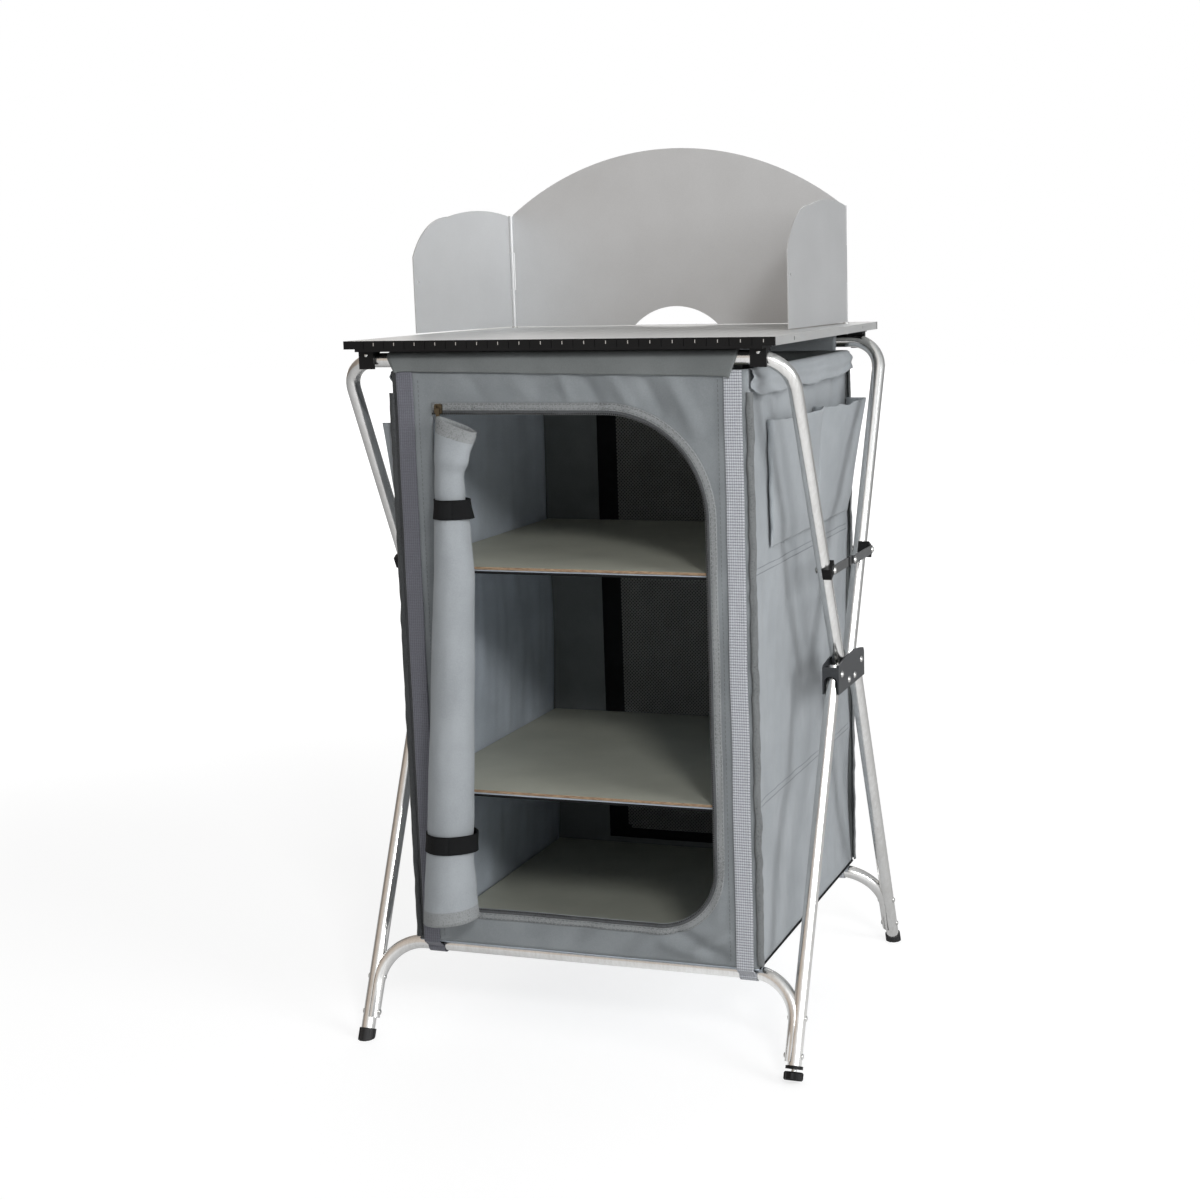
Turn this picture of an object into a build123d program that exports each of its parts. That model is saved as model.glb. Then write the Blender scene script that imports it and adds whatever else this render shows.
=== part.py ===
from build123d import *
from math import atan2, cos, degrees, hypot, pi, radians, sin, tan
import os

# A folding camping cupboard: two pairs of tube frames hinged on two side brackets,
# a cloth cupboard with three loose boards hung between them, a roll-up slatted top
# that hooks over the frames, and a hinged windshield that stands on the top.
# Millimetres. The origin is on the floor, midway between the four feet.
# +Z is up, the open front of the cupboard faces -Y and +X is its right-hand side.

os.makedirs("parts", exist_ok=True)

# running clearances
pin_clearance = 0.05
seat_gap = 0.3

# frame tubes
tube_radius = 8.0
tube_wall = 1.2
leg_span = 520.0
foot_span = 484.0
upper_bend_radius = 38.0
lower_bend_radius = 54.0

# hub brackets and the four pivots that each one carries
upper_pivot_gap = 26.0
upper_pivot_height = 406.0
lower_pivot_gap = 90.0
lower_pivot_height = 418.5
pivot_overhang = 8.5
bracket_length = 120.0
bracket_bottom = 397.0
bracket_shoulder = 430.0
bracket_crown = 436.0
bracket_wall = 1.5
bracket_corner = 7.0
notch_height = 21.0

# rivets
rivet_radius = 2.5
rivet_head_radius = 4.2
rivet_head_height = 1.6
rivet_sides = 12
rivet_tip_share = 0.6

# bars that the cupboard and the top hang on
top_height = 810.0
top_bar_drop = 22.0
top_bar_spread = 404.0
bottom_bar_height = 106.5
cross_tube_end = 24.5
cross_tube_inset = 4.0

# feet
cap_wall = 1.8
cap_depth = 11.5
cap_floor = 6.0
cap_rib_count = 10
cap_rib_width = 1.6
cap_rib_depth = 0.5
levelling_tube_end = 20.5
levelling_flange = 3.6
levelling_plug_depth = 12.0
stud_radius = 3.0
stud_length = 20.0
knob_radius = 11.3
knob_height = 9.5
knob_edge = 1.5
knob_flute_count = 12
knob_flute_depth = 0.7

# folding stays
stay_height = 545.0
stay_width = 10.0
stay_thickness = 2.0
stay_plane_gap = 0.9
stay_rivet_radius = 2.0
saddle_length = 14.0
saddle_width = 19.0
saddle_face = 2.2
collar_wall = 0.5
collar_length = 4.0
collar_setback = 19.0

# roll-up top
top_width = 500.0
top_depth = 448.0
slat_count = 20
slat_gap = 0.6
slat_thickness = 9.0
slat_wall = 1.2
end_cap_length = 3.0
end_cap_plug = 8.0
elastic_cord_radius = 1.5
elastic_cord_spread = 300.0
cord_slot_clearance = 0.5
rail_thickness = 3.0
rail_depth = 34.0
rail_setback = 14.0
clip_spread = 456.0
clip_width = 18.0
clip_jaw = 3.4
clip_drop = 1.5
clip_inner_reach = 5.0

# windshield
shield_sheet = 1.2
shield_setback = 45.0
hinge_inset = 29.0
hinge_pin_radius = 1.4
hinge_barrel_radius = 2.6
hinge_foot_radius = 3.6
hinge_foot_height = 1.0
knuckle_count = 3
knuckle_gap = 0.4
knuckle_bite = 0.1
shield_side_height = 141.0
shield_peak_height = 218.0
shield_crown_radius = 354.0
shield_notch_width = 111.0
shield_notch_height = 23.0
wing_length = 220.5
wing_crown_height = 147.0
wing_shoulder_height = 139.5
wing_edge_height = 91.0
wing_bulge = 5.0
wing_crown_share = 0.36
wing_shoulder_share = 0.64
wing_bulge_share = 0.89
wing_hole_radius = 1.5
wing_hole_height = 62.0
wing_hole_inset = 9.0
wing_angles = {"left": -7.7, "right": -3.0}

# cloth cupboard
cloth = 1.0
cupboard_shift = 7.0
cupboard_width = 414.0
cupboard_depth = 417.2
cupboard_drop = 12.0
cupboard_floor = 115.0
side_sags = (4.0, 4.0, 0.4)
sleeve_wall = 0.8
sleeve_length = 408.0
skirt_length = 18.0
door_left = -152.0
door_right = 164.0
door_head = 48.0
door_bottom = 160.0
door_upper_corner = 112.0
door_lower_corner = 66.0
zip_tape_width = 13.0
window_width = 206.0
window_band = 27.0
window_margin = 24.0
webbing_width = 20.0
webbing_thickness = 1.0
webbing_spread = 391.0
webbing_shift = 3.0
webbing_loop_gap = 0.8
pocket_height = 141.0
pocket_drop = 58.0
pocket_foot = 3.0
pocket_seam = 1.0
pocket_mouth_front = 9.0
pocket_mouth_rear = 26.0
pocket_mouth_left = 12.0
pocket_start = -141.0
pocket_middle = 49.0
pocket_end = 200.0
flap_length = 400.0
flap_drop = 26.0
flap_reach = 9.0
flap_tip_share = 0.7
flap_swell_share = 0.45

# rolled-up door and its two ties
roll_bottom = 156.0
roll_waist_drop = 83.0
roll_pinch_drop = 55.0
roll_top_drop = 5.0
roll_bottom_place = -146.0
roll_top_place = -115.5
roll_foot_radius = 33.0
roll_shin_radius = 27.5
roll_waist_radius = 19.5
roll_pinch_radius = 17.0
roll_flare_radius = 21.5
roll_sides = 24
tie_drop = 96.5
tie_rise = 92.5
tie_width = 21.0
tie_wall = 1.0
tie_tab = 14.0

# boards
board_thickness = 3.0
board_side_gap = 4.0
board_end_gap = 3.0
upper_board_top = 558.0
middle_board_top = 300.0
hammock_hem_radius = 1.8

# zip slider
slider_width = 9.0
slider_height = 11.0
slider_thickness = 3.2
pull_length = 25.0
pull_width = 4.6
pull_thickness = 1.2
pull_ring_radius = 0.8
pull_hole_radius = 1.2
pull_room = 4.0

# places worked out from the sizes above
top_bar_height = top_height - top_bar_drop
cupboard_top = top_bar_height - cupboard_drop
skirt_bottom = top_bar_height - skirt_length
door_top = cupboard_top - door_head
pocket_top = cupboard_top - pocket_drop
pocket_bottom = pocket_top - pocket_height
roll_top = door_top - roll_top_drop
roll_waist_height = roll_top - roll_waist_drop
roll_pinch_height = roll_top - roll_pinch_drop
tie_heights = (roll_top - tie_drop, roll_bottom + tie_rise)
leg_x = leg_span / 2
foot_y = foot_span / 2
top_bar_y = top_bar_spread / 2
upper_pivot_y = upper_pivot_gap / 2
lower_pivot_y = lower_pivot_gap / 2
upper_lean = atan2(top_bar_y - upper_pivot_y, top_bar_height - upper_pivot_height)
lower_lean = atan2(foot_y - lower_pivot_y, lower_pivot_height)
bracket_inner_x = leg_x - tube_radius - seat_gap - bracket_wall
bracket_outer_x = leg_x + tube_radius + seat_gap + bracket_wall
stay_y = upper_pivot_y + (stay_height - upper_pivot_height) * tan(upper_lean)
front_stay_x = leg_x + tube_radius + saddle_face + seat_gap
rear_stay_x = front_stay_x + stay_thickness + stay_plane_gap
slat_pitch = top_width / slat_count
slat_bottom = top_height - slat_thickness
slat_length = top_depth - 2 * end_cap_length
rail_bottom = slat_bottom - rail_thickness
clip_bore = tube_radius + seat_gap
hinge_x = top_width / 2 - hinge_inset
hinge_y = top_depth / 2 - shield_setback
shield_bottom = top_height + hinge_foot_height
wall_left = cupboard_shift - cupboard_width / 2
wall_right = cupboard_shift + cupboard_width / 2
wall_face = cupboard_depth / 2
floor_board_top = cupboard_floor + cloth + seat_gap + board_thickness
bottom_bar_y = foot_y - bottom_bar_height * tan(lower_lean)
sleeve_radius = tube_radius + seat_gap + sleeve_wall
webbing_face = wall_face + seat_gap + webbing_thickness


def rod(start, end, radius):
    """A round bar between two points."""
    run = Vector(end) - Vector(start)
    bar = Cylinder(radius, run.length, align=(Align.CENTER, Align.CENTER, Align.MIN))
    return Plane(origin=start, z_dir=run) * bar


def pipe(start, end, outer, inner):
    """A round tube between two points."""
    return rod(start, end, outer) - rod(start, end, inner)


def block(low, high):
    """A box between two corners."""
    size = Vector(*high) - Vector(*low)
    return Pos(*low) * Box(size.X, size.Y, size.Z, align=(Align.MIN, Align.MIN, Align.MIN))


def across(low_x, high_x, face):
    """A face drawn in the YZ plane, made into a solid between two X places."""
    return Pos(low_x, 0, 0) * extrude(Plane.YZ * face, amount=high_x - low_x)


def along(low_y, high_y, face):
    """A face drawn in the XZ plane, made into a solid between two Y places."""
    drawn = Plane(origin=(0, low_y, 0), x_dir=(1, 0, 0), z_dir=(0, -1, 0)) * face
    return extrude(drawn, amount=-(high_y - low_y))


def flat_sided(start, end, radius, end_radius):
    """A many-sided bar or taper between two points, for the fasteners and their holes."""
    run = Vector(*end) - Vector(*start)
    faces = [Plane.XY * RegularPolygon(radius, rivet_sides)]
    faces += [Pos(0, 0, run.length) * RegularPolygon(end_radius, rivet_sides)]
    return Plane(origin=start, z_dir=run) * loft(faces, ruled=True)


def rivet(start, end, radius, head_radius):
    """A shank along X with a low head outside each end."""
    (low, y, z), high = start, end[0]
    tip = head_radius * rivet_tip_share
    body = flat_sided((low, y, z), (high, y, z), radius, radius)
    body += flat_sided((low, y, z), (low - rivet_head_height, y, z), head_radius, tip)
    return body + flat_sided((high, y, z), (high + rivet_head_height, y, z), head_radius, tip)


def save(name, *solids):
    """Write one named piece, or a group of like pieces, to its own file."""
    bodies = [solid for shape in solids for solid in shape.solids()]
    shape = bodies[0] if len(bodies) == 1 else Compound(children=bodies)
    export_step(shape, f"parts/{name}.step")


def upper_point(side, hand, reach):
    """A point on an upper leg's axis, at a distance above its pivot."""
    y = upper_pivot_y + reach * sin(upper_lean)
    return (hand * leg_x, side * y, upper_pivot_height + reach * cos(upper_lean))


def lower_point(side, x, reach):
    """A point in the plane of the lower legs, at a distance up from the floor."""
    return (x, side * (foot_y - reach * sin(lower_lean)), reach * cos(lower_lean))


def bend(before, corner, after, bend_radius, radius):
    """The bend of a round bar at a corner of its route, with the points where it starts and ends."""
    inward, outward = (corner - before).normalized(), (after - corner).normalized()
    turn = inward.get_angle(outward)
    setback = bend_radius * tan(radians(turn) / 2)
    start, end = corner - inward * setback, corner + outward * setback
    normal = inward.cross(outward).normalized()
    centre = start + normal.cross(inward) * bend_radius
    section = Plane(origin=start, x_dir=normal, z_dir=inward) * Circle(radius)
    return start, revolve(section, Axis(centre, normal), turn), end


def bent_rod(points, bend_radius, radius):
    """A round bar bent at each inner point of its route."""
    points = [Vector(*point) for point in points]
    place, pieces = points[0], []
    for before, corner, after in zip(points, points[1:], points[2:]):
        start, piece, end = bend(before, corner, after, bend_radius, radius)
        pieces += [rod(place, start, radius), piece]
        place = end
    pieces.append(rod(place, points[-1], radius))
    return pieces[0].fuse(*pieces[1:])


# frame

upper_length = hypot(top_bar_y - upper_pivot_y, top_bar_height - upper_pivot_height)
stay_reach = (stay_height - upper_pivot_height) / cos(upper_lean)
lower_length = lower_pivot_height / cos(lower_lean)
bottom_bar_reach = bottom_bar_height / cos(lower_lean)
cross_x = leg_x - cross_tube_inset


def drill(y, z, radius):
    """A bar right through both sides of the frame, to cut the rivet holes with."""
    wide = (radius + pin_clearance) / cos(pi / rivet_sides)
    return flat_sided((-leg_span, y, z), (leg_span, y, z), wide, wide)


def upper_frame(side):
    """The arched tube that carries one edge of the top."""
    route = [upper_point(side, -1, -pivot_overhang), upper_point(side, -1, upper_length)]
    route += [upper_point(side, 1, upper_length), upper_point(side, 1, -pivot_overhang)]
    tube = bent_rod(route, upper_bend_radius, tube_radius)
    bend_start = upper_length - upper_bend_radius
    for hand in (-1, 1):
        low, high = (upper_point(side, hand, reach) for reach in (-pivot_overhang, bend_start))
        tube -= flat_sided(low, high, tube_radius - tube_wall, tube_radius - tube_wall)
    tube -= drill(side * upper_pivot_y, upper_pivot_height, rivet_radius)
    return tube - drill(side * stay_y, stay_height, stay_rivet_radius)


def lower_leg(side, hand, end):
    """A straight leg from the hub to the foot, drilled for its pivot."""
    x = hand * leg_x
    head = lower_point(side, x, lower_length + pivot_overhang)
    foot = lower_point(side, x, end)
    leg = pipe(foot, head, tube_radius, tube_radius - tube_wall)
    return leg - drill(side * lower_pivot_y, lower_pivot_height, rivet_radius)


def leg_room(side, radius):
    """Two bars along the legs, to press the ends of the cross tube with."""
    reaches = (0, 2 * bottom_bar_reach)
    ends = [[lower_point(side, hand * leg_x, reach) for reach in reaches] for hand in (-1, 1)]
    return [rod(low, high, radius) for low, high in ends]


def cross_tube(side):
    """The low arched tube that carries the cupboard, its ends pressed hollow to hug the legs."""
    route = [lower_point(side, -cross_x, cross_tube_end)]
    route += [lower_point(side, -cross_x, bottom_bar_reach)]
    route += [lower_point(side, cross_x, bottom_bar_reach)]
    route += [lower_point(side, cross_x, cross_tube_end)]
    tube = bent_rod(route, lower_bend_radius, tube_radius)
    tube -= leg_room(side, tube_radius + pin_clearance)
    reaches = (cross_tube_end, bottom_bar_reach - lower_bend_radius)
    ends = [[lower_point(side, hand * cross_x, reach) for reach in reaches] for hand in (-1, 1)]
    bore = tube_radius - tube_wall
    bores = [flat_sided(low, high, bore, bore) for low, high in ends]
    hollow = bores[0] + bores[1] - leg_room(side, tube_radius + pin_clearance + tube_wall)
    return tube - hollow


def foot_cap(side, hand):
    """A ribbed cap on the end of a leg, cut flat where it meets the floor."""
    x = hand * leg_x
    radius = tube_radius + cap_wall
    low = lower_point(side, x, -cap_depth)
    mouth = lower_point(side, x, cap_depth)
    seat = lower_point(side, x, cap_floor)
    cap = rod(low, mouth, radius) - rod(seat, mouth, tube_radius + pin_clearance)
    axis = Vector(*mouth) - Vector(*low)
    groove_size = (cap_rib_depth, cap_rib_width, axis.length)
    groove = Pos(radius, 0, 0) * Box(*groove_size, align=(Align.MAX, Align.CENTER, Align.MIN))
    place = Plane(origin=low, z_dir=axis)
    turns = [Rot(0, 0, turn * 360 / cap_rib_count) for turn in range(cap_rib_count)]
    cap -= [place * turn * groove for turn in turns]
    floor = block((-leg_span, -foot_span, -foot_span), (leg_span, foot_span, 0))
    return cap - floor


def hub_bracket(hand):
    """The folded channel that holds four leg ends on one side."""
    half = bracket_length / 2
    low, shoulder, crown = bracket_bottom, bracket_shoulder, bracket_crown
    outline = [Line((-half, low), (half, low)), Line((half, low), (half, shoulder))]
    outline += [ThreePointArc((half, shoulder), (0, crown), (-half, shoulder))]
    outline += [Line((-half, shoulder), (-half, low))]
    plate = make_face(outline)
    plate = fillet(plate.vertices().group_by(Axis.Y)[-1], radius=bracket_corner)
    inner, outer = sorted((hand * bracket_inner_x, hand * bracket_outer_x))
    wall = bracket_wall
    channel = across(inner, outer, plate)
    hollow = Pos(0, (low + crown) / 2) * Rectangle(bracket_length - 2 * wall, 2 * (crown - low))
    channel -= across(inner + wall, outer - wall, hollow)
    notch_radius = tube_radius + seat_gap
    notch = Pos(hand * leg_x, low) * Rectangle(2 * notch_radius, 2 * (notch_height - notch_radius))
    notch += Pos(hand * leg_x, low + notch_height - notch_radius) * Circle(notch_radius)
    channel -= along(-bracket_length, bracket_length, notch)
    holes = [drill(y, z, rivet_radius) for y, z in pivot_places()]
    return channel - holes


def pivot_places():
    """Where the four pivots of a bracket lie."""
    places = [(side * upper_pivot_y, upper_pivot_height) for side in (-1, 1)]
    return places + [(side * lower_pivot_y, lower_pivot_height) for side in (-1, 1)]


def hub_rivets():
    """The eight rivets that the legs turn on."""
    rivets = []
    for hand in (-1, 1):
        faces = (hand * (bracket_inner_x - pin_clearance), hand * (bracket_outer_x + pin_clearance))
        inner, outer = sorted(faces)
        for y, z in pivot_places():
            rivets.append(rivet((inner, y, z), (outer, y, z), rivet_radius, rivet_head_radius))
    return rivets


save("hub_bracket_left", hub_bracket(-1))
save("hub_bracket_right", hub_bracket(1))
save("hub_rivets", *hub_rivets())

plain_end = cap_floor + pin_clearance
for side, name in ((-1, "front"), (1, "rear")):
    save(f"upper_{name}_frame", upper_frame(side))
    right_end = levelling_tube_end if side < 0 else plain_end
    save(f"lower_{name}_leg_left", lower_leg(side, -1, plain_end))
    save(f"lower_{name}_leg_right", lower_leg(side, 1, right_end))
    save(f"lower_{name}_cross_tube", cross_tube(side))
save("foot_cap_front_left", foot_cap(-1, -1))
save("foot_caps_rear", foot_cap(1, -1), foot_cap(1, 1))


# levelling foot, on the front right leg

knob_end = (knob_radius - knob_edge) * tan(lower_lean)


def leg_place(reach):
    """A plane square to the front right leg, its normal up along the leg."""
    centre = Vector(*lower_point(-1, leg_x, reach))
    above = Vector(*lower_point(-1, leg_x, reach + 1))
    return Plane(origin=centre, z_dir=above - centre)


def upright(radius, height):
    """A cylinder that stands on its own base."""
    return Cylinder(radius, height, align=(Align.CENTER, Align.CENTER, Align.MIN))


def levelling_socket():
    """The plug in the leg's end, with a flange below it and a tapped bore."""
    flange = leg_place(levelling_tube_end - levelling_flange)
    base = upright(tube_radius + cap_wall, levelling_flange - pin_clearance)
    plug = upright(tube_radius - tube_wall - pin_clearance, levelling_flange + levelling_plug_depth)
    bore = upright(stud_radius + pin_clearance, levelling_flange + levelling_plug_depth)
    return flange * (base + plug - bore)


def levelling_stud():
    """The screw that runs in the plug."""
    return leg_place(knob_end + knob_height / 2) * upright(stud_radius, stud_length)


def fluted(radius):
    """The knob's outline, in and out by the depth of its flutes."""
    radii = (radius, radius - knob_flute_depth)
    turns = [(pi * turn / knob_flute_count, radii[turn % 2]) for turn in range(2 * knob_flute_count)]
    points = [(reach * cos(angle), reach * sin(angle)) for angle, reach in turns]
    return make_face(Polyline(*points, close=True))


def levelling_knob():
    """The fluted knob that the corner stands on."""
    levels = [(0, knob_radius - knob_edge), (knob_edge, knob_radius)]
    levels += [(knob_height - height, radius) for height, radius in reversed(levels)]
    knob = loft([Pos(0, 0, height) * fluted(radius) for height, radius in levels], ruled=True)
    socket = Pos(0, 0, knob_height / 2) * upright(stud_radius + pin_clearance, knob_height)
    return leg_place(knob_end) * (knob - socket)


save("levelling_socket", levelling_socket())
save("levelling_stud", levelling_stud())
save("levelling_knob", levelling_knob())


# folding stays, one each side, outside the upper frames

def stay_saddle(side, hand):
    """The block between a stay and the leg that it is riveted to."""
    extra = stay_thickness + stay_plane_gap if side > 0 else 0
    depth = tube_radius + saddle_face + extra
    centre = upper_point(side, hand, stay_reach)
    up_leg = Vector(*upper_point(side, hand, stay_reach + 1)) - Vector(*centre)
    saddle = Box(depth, saddle_width, saddle_length, align=(Align.MIN, Align.CENTER, Align.CENTER))
    place = Plane(origin=centre, x_dir=(hand, 0, 0), z_dir=up_leg)
    low = upper_point(side, hand, stay_reach - saddle_length)
    high = upper_point(side, hand, stay_reach + saddle_length)
    saddle = place * saddle - rod(low, high, tube_radius + pin_clearance)
    return saddle - drill(side * stay_y, stay_height, stay_rivet_radius)


def stay_rivet(side, hand):
    """The rivet through a leg, its saddle and the end of a stay."""
    plane = front_stay_x if side < 0 else rear_stay_x
    ends = sorted((hand * (leg_x - tube_radius - seat_gap), hand * (plane + stay_thickness + seat_gap)))
    points = [(x, side * stay_y, stay_height) for x in ends]
    return rivet(*points, stay_rivet_radius, rivet_head_radius)


def stay_link(side, hand):
    """One half of a stay, from its leg to the middle joint."""
    plane = front_stay_x if side < 0 else rear_stay_x
    bar = Pos(side * stay_y / 2, stay_height) * SlotCenterToCenter(stay_y, stay_width)
    link = across(*sorted((hand * plane, hand * (plane + stay_thickness))), bar)
    link -= drill(side * stay_y, stay_height, stay_rivet_radius)
    return link - drill(0, stay_height, stay_rivet_radius)


def stay_collar(hand):
    """The band on the front link that keeps the open stay straight."""
    low, high = front_stay_x, front_stay_x + stay_thickness
    half = stay_width / 2
    spots = (-collar_setback, -collar_setback + collar_length)
    grow = collar_wall + pin_clearance
    outer = [sorted((hand * (low - collar_wall / 2), hand * (high + grow)))]
    slot = [sorted((hand * (low - pin_clearance), hand * (high + pin_clearance)))]
    band = block((outer[0][0], spots[0], stay_height - half - grow),
                 (outer[0][1], spots[1], stay_height + half + grow))
    hollow = block((slot[0][0], 2 * spots[0], stay_height - half - pin_clearance),
                   (slot[0][1], 0, stay_height + half + pin_clearance))
    return band - hollow


def stay_middle_rivet(hand):
    """The middle rivet, held by the rear link and headed outside it."""
    inner, outer = rear_stay_x - pin_clearance, rear_stay_x + stay_thickness + pin_clearance
    radii = (stay_rivet_radius, rivet_head_radius, rivet_head_radius * rivet_tip_share)
    points = [(hand * x, 0, stay_height) for x in (inner, outer, outer + rivet_head_height)]
    shank = flat_sided(points[0], points[1], radii[0], radii[0])
    return shank + flat_sided(points[1], points[2], radii[1], radii[2])


for side, name in ((-1, "front"), (1, "rear")):
    save(f"stay_saddles_{name}", stay_saddle(side, -1), stay_saddle(side, 1))
    save(f"stay_rivets_{name}", stay_rivet(side, -1), stay_rivet(side, 1))
    save(f"stay_link_{name}_left", stay_link(side, -1))
    save(f"stay_link_{name}_right", stay_link(side, 1))
for hand, name in ((-1, "left"), (1, "right")):
    save(f"stay_collar_{name}", stay_collar(hand))
    save(f"stay_middle_rivet_{name}", stay_middle_rivet(hand))


# roll-up top

slat_width = slat_pitch - slat_gap
slat_places = [(index + 0.5) * slat_pitch - top_width / 2 for index in range(slat_count)]
slat_middle = slat_bottom + slat_thickness / 2
cord_ys = (-elastic_cord_spread / 2, elastic_cord_spread / 2)


def slat(x):
    """A hollow slat that runs from the front edge to the rear edge."""
    section = Rectangle(slat_width, slat_thickness)
    section -= Rectangle(slat_width - 2 * slat_wall, slat_thickness - 2 * slat_wall)
    body = along(-slat_length / 2, slat_length / 2, Pos(x, slat_middle) * section)
    slot = 2 * (elastic_cord_radius + cord_slot_clearance)
    body -= [Pos(x, y, slat_middle) * Box(2 * slat_pitch, slot, slot) for y in cord_ys]
    if abs(abs(x) - hinge_x) < slat_pitch / 2:
        body -= hinge_pin_hole(1 if x > 0 else -1)
    return body


def hinge_pin_hole(hand):
    """The hole in the top that a hinge pin of the windshield drops into."""
    low = (hand * hinge_x, hinge_y, top_height - slat_wall - seat_gap)
    high = (hand * hinge_x, hinge_y, top_height + slat_wall)
    return rod(low, high, hinge_pin_radius + pin_clearance)


def slat_end_cap(x, side):
    """The plastic cap on one end of a slat, with its plug in the hollow of the slat."""
    outer = side * top_depth / 2
    seat = side * (slat_length / 2 + pin_clearance)
    cap = along(*sorted((seat, outer)), Pos(x, slat_middle) * Rectangle(slat_width, slat_thickness))
    margin = 2 * (slat_wall + seat_gap)
    plug = Rectangle(slat_width - margin, slat_thickness - margin)
    depth = side * (slat_length / 2 - end_cap_plug)
    return cap + along(*sorted((depth, seat)), Pos(x, slat_middle) * plug)


def elastic_cord(y):
    """One cord that ties the slats together."""
    inset = slat_pitch / 2 - slat_wall
    reach = top_width / 2 - inset
    return rod((-reach, y, slat_middle), (reach, y, slat_middle), elastic_cord_radius)


def top_rail(side):
    """The rail under one end of the slats, with a hook at each end for the frame."""
    outer = side * top_depth / 2
    inner = side * (top_depth / 2 - rail_depth)
    low_y, high_y = sorted((outer, inner))
    reach = top_width / 2 - rail_setback
    rail = block((-reach, low_y, rail_bottom), (reach, high_y, slat_bottom))
    jaw_outer = side * (top_bar_y + clip_bore + clip_jaw)
    saddle_inner = side * (top_bar_y - clip_inner_reach)
    jaw_bottom = top_bar_height - tube_radius - clip_drop
    for hand in (-1, 1):
        ends = sorted(hand * (clip_spread + width) / 2 for width in (-clip_width, clip_width))
        spans = sorted((jaw_outer, saddle_inner))
        clip = block((ends[0], spans[0], jaw_bottom), (ends[1], spans[1], rail_bottom))
        centre = side * top_bar_y
        clip -= rod((ends[0] - 1, centre, top_bar_height), (ends[1] + 1, centre, top_bar_height), clip_bore)
        path = sorted((side * (top_bar_y + clip_bore), saddle_inner - side))
        clip -= block((ends[0] - 1, path[0], jaw_bottom - 1), (ends[1] + 1, path[1], top_bar_height))
        rail += clip
    return rail


save("top_slats", *[slat(x) for x in slat_places])
save("slat_end_caps", *[slat_end_cap(x, side) for side in (-1, 1) for x in slat_places])
save("elastic_cords", *[elastic_cord(y) for y in cord_ys])
save("top_rails", top_rail(-1), top_rail(1))


# windshield

knuckle_pitch = (shield_side_height - knuckle_gap) / knuckle_count
sheet_back = hinge_barrel_radius
sheet_front = hinge_barrel_radius - shield_sheet


def knuckle_spans(parity):
    """The height ranges of every other knuckle, from the lowest up."""
    starts = range(parity, knuckle_count, 2)
    low = shield_bottom + knuckle_gap
    return [(low + turn * knuckle_pitch, low + (turn + 1) * knuckle_pitch - knuckle_gap) for turn in starts]


def barrel(x, y, span):
    """One rolled knuckle round a hinge pin."""
    return pipe((x, y, span[0]), (x, y, span[1]), hinge_barrel_radius, hinge_pin_radius + pin_clearance)


def shield_panel():
    """The arched rear panel with its outer knuckles."""
    edge = hinge_x - hinge_barrel_radius - knuckle_gap
    low, peak = shield_bottom, top_height + shield_peak_height
    face = Pos(0, (low + peak) / 2) * Rectangle(2 * edge, peak - low)
    face &= Pos(0, peak - shield_crown_radius) * Circle(shield_crown_radius)
    half = shield_notch_width / 2
    notch = [ThreePointArc((half, low), (0, low + shield_notch_height), (-half, low))]
    face -= make_face(notch + [Line((-half, low), (half, low))])
    panel = along(hinge_y + sheet_front, hinge_y + sheet_back, face)
    for hand in (-1, 1):
        for span in knuckle_spans(0):
            ends = sorted((hand * (edge - knuckle_gap), hand * hinge_x))
            tab = block((ends[0], hinge_y + sheet_front, span[0]), (ends[1], hinge_y + sheet_back, span[1]))
            pin_line = [(hand * hinge_x, hinge_y, height) for height in (low, peak)]
            tab -= rod(*pin_line, hinge_barrel_radius - knuckle_bite)
            panel += tab + barrel(hand * hinge_x, hinge_y, span)
    return panel


def hinge_pin(hand):
    """A hinge pin with a small foot, its tip in the top."""
    x = hand * hinge_x
    tip = top_height - slat_wall - seat_gap
    pin = rod((x, hinge_y, tip), (x, hinge_y, top_height + shield_side_height), hinge_pin_radius)
    return pin + rod((x, hinge_y, top_height), (x, hinge_y, shield_bottom), hinge_foot_radius)


def wing(hand, angle):
    """A side wing, drawn square to the rear panel and then turned on its pin."""
    low = shield_bottom + knuckle_gap
    base, tip = 0, -wing_length
    near = -(hinge_barrel_radius + knuckle_gap)
    crown = (-wing_length * wing_crown_share, top_height + wing_crown_height)
    shoulder = (-wing_length * wing_shoulder_share, top_height + wing_shoulder_height)
    hinge_top = (near, top_height + shield_side_height)
    edge_top = (tip, top_height + wing_edge_height)
    bulge = (-wing_length * wing_bulge_share, (shoulder[1] + edge_top[1]) / 2 + wing_bulge)
    outline = [Line((near, low), hinge_top), ThreePointArc(hinge_top, crown, shoulder)]
    outline += [ThreePointArc(shoulder, bulge, edge_top), Line(edge_top, (tip, low))]
    outline.append(Line((tip, low), (near, low)))
    face = make_face(outline)
    face -= Pos(tip + wing_hole_inset, top_height + wing_hole_height) * Circle(wing_hole_radius)
    ends = sorted((hand * sheet_front, hand * sheet_back))
    panel = across(*ends, face)
    for span in knuckle_spans(1):
        tab = block((ends[0], near - knuckle_gap, span[0]), (ends[1], base, span[1]))
        tab -= rod((0, 0, low), (0, 0, top_height + wing_crown_height), hinge_barrel_radius - knuckle_bite)
        panel += tab + barrel(0, 0, span)
    return Pos(hand * hinge_x, hinge_y, 0) * Rot(0, 0, angle) * panel


save("shield_panel", shield_panel())
save("shield_hinge_pins", hinge_pin(-1), hinge_pin(1))
save("shield_wing_left", wing(-1, wing_angles["left"]))
save("shield_wing_right", wing(1, wing_angles["right"]))


# cloth cupboard

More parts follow.
